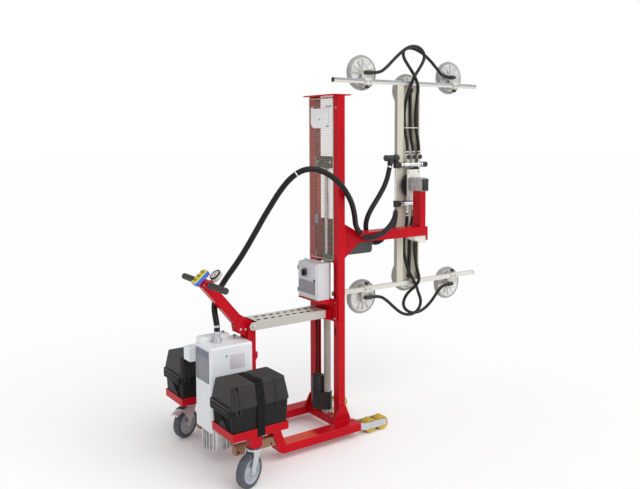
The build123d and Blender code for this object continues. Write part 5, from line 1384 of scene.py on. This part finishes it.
for node, route, fixed_body, moved_body, length in crossings:
    line = hose_line(node, route)
    shape = tube_shape(line, main_hose_d / 2)
    piece = place_piece(node + "_rubber", shape, main_rubber, None)
    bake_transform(piece)
    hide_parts(node)
    if node == "main_hose_lift":
        tie_at = min(range(1, len(line) - 1), key=lambda index: abs(line[index].x - lift_tie_x))
        shape = hose_band(line, tie_at, tie_wall, tie_w)
        tie = place_piece("lift_hose_tie", shape, white_tie, None)
        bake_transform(tie)
        shape = hose_band(line, 4, clip_wall, clip_w)
        place_piece("pump_hose_clip", shape, bolt_zinc, "chassis")
    if node == "main_hose_turn":
        shape = hose_band(line, -3, clip_wall, clip_w)
        place_piece("inlet_hose_clip", shape, bolt_zinc, "head")

cup_hose_d = 0.022
top_left_route = [
    (0.785, 0.140, 1.702), (0.785, 0.140, 1.760), (0.781, 0.158, 1.838), (0.779, 0.168, 1.920),
    (0.779, 0.167, 2.010), (0.782, 0.150, 2.092), (0.812, 0.142, 2.168), (0.848, 0.146, 2.232),
    (0.902, 0.152, 2.292), (0.946, 0.160, 2.342), (0.964, 0.165, 2.388), (0.938, 0.168, 2.428),
    (0.882, 0.169, 2.448), (0.818, 0.169, 2.438), (0.758, 0.168, 2.404), (0.696, 0.170, 2.354),
    (0.624, 0.172, 2.290), (0.560, 0.173, 2.247), (0.497, 0.173, 2.247),
]
top_right_route = [
    (0.891, 0.140, 1.702), (0.891, 0.140, 1.760), (0.886, 0.156, 1.838), (0.881, 0.166, 1.920),
    (0.880, 0.163, 2.010), (0.872, 0.140, 2.092), (0.852, 0.106, 2.170), (0.818, 0.116, 2.246),
    (0.788, 0.144, 2.310), (0.772, 0.176, 2.366), (0.796, 0.199, 2.418), (0.864, 0.205, 2.440),
    (0.954, 0.201, 2.418), (1.034, 0.193, 2.366), (1.100, 0.183, 2.302), (1.150, 0.173, 2.247),
    (1.218, 0.173, 2.247),
]
low_left_route = [
    (0.785, 0.140, 1.290), (0.785, 0.140, 1.232), (0.781, 0.158, 1.154), (0.780, 0.167, 1.072),
    (0.784, 0.165, 0.984), (0.802, 0.150, 0.894), (0.842, 0.134, 0.814), (0.884, 0.146, 0.760),
    (0.922, 0.174, 0.716), (0.962, 0.178, 0.640), (0.932, 0.178, 0.574), (0.858, 0.176, 0.552),
    (0.776, 0.176, 0.572), (0.706, 0.176, 0.624), (0.632, 0.175, 0.690), (0.562, 0.173, 0.730),
    (0.497, 0.173, 0.730),
]
low_right_route = [
    (0.891, 0.140, 1.290), (0.891, 0.140, 1.232), (0.886, 0.156, 1.154), (0.881, 0.166, 1.072),
    (0.880, 0.163, 0.984), (0.880, 0.140, 0.894), (0.872, 0.100, 0.824), (0.852, 0.112, 0.776),
    (0.826, 0.162, 0.728), (0.808, 0.188, 0.680), (0.806, 0.202, 0.628), (0.838, 0.205, 0.582),
    (0.908, 0.205, 0.550), (1.000, 0.200, 0.562), (1.084, 0.190, 0.628), (1.152, 0.173, 0.730),
    (1.218, 0.173, 0.730),
]
top_middle_route = [
    (0.838, 0.140, 1.702), (0.838, 0.140, 1.7357), (0.838, 0.1737, 1.8368), (0.838, 0.1737, 2.125),
]
low_middle_route = [
    (0.838, 0.140, 1.290), (0.838, 0.140, 1.2563), (0.838, 0.1737, 1.1552), (0.838, 0.1737, 0.853),
]
cup_rubber = hose_rubber("cup_hose_rubber", 0.005, (0.016, 0.015, 0.014), (0.010, 0.009, 0.009))
cup_hoses = [
    ("cup_hose_top_left", top_left_route, 1.294), ("cup_hose_top_right", top_right_route, 1.252),
    ("cup_hose_low_left", low_left_route, 1.262), ("cup_hose_low_right", low_right_route, 1.226),
    ("cup_hose_top_middle", top_middle_route, 0.427), ("cup_hose_low_middle", low_middle_route, 0.441),
]
for node, route, length in cup_hoses:
    line = hose_line(node, route)
    shape = tube_shape(line, cup_hose_d / 2, 14)
    piece = place_piece(node + "_rubber", shape, cup_rubber, "head")
    if node in frame["nodes"]:
        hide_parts(node)


# Motor lead: a thin black rubber cable that rises from the lift motor's gland, goes up inside the
# mast and is clipped to the bracket.
lead_route = [
    (-0.034, 0.0545, 0.326), (-0.034, 0.0545, 0.400), (-0.033, 0.058, 0.480), (-0.030, 0.064, 0.555),
    (-0.02775, 0.060, 0.630), (-0.02775, 0.060, 0.700),
]
lead_d = 0.008
line = hose_line("actuator_lead", lead_route)
shape = tube_shape(line, lead_d / 2, 12)
piece = place_piece("actuator_lead_cable", shape, cup_rubber, "chassis")
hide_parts("actuator_lead")


# Tie on the head: a white nylon cable tie with a square lock, drawn round the three hoses that
# lie in the channel.
tie_x = 0.832
tie_z = 1.881
shape = bmesh.new()
plate(shape, spot(tie_x, 0.1625, tie_z), (0.128, 0.032, 0.005), 0.014, 2, 0.0008)
slab(shape, spot(tie_x, 0.1445, tie_z), (0.010, 0.007, 0.008), 0.001)
place_piece("channel_hose_tie", shape, white_tie, "head")
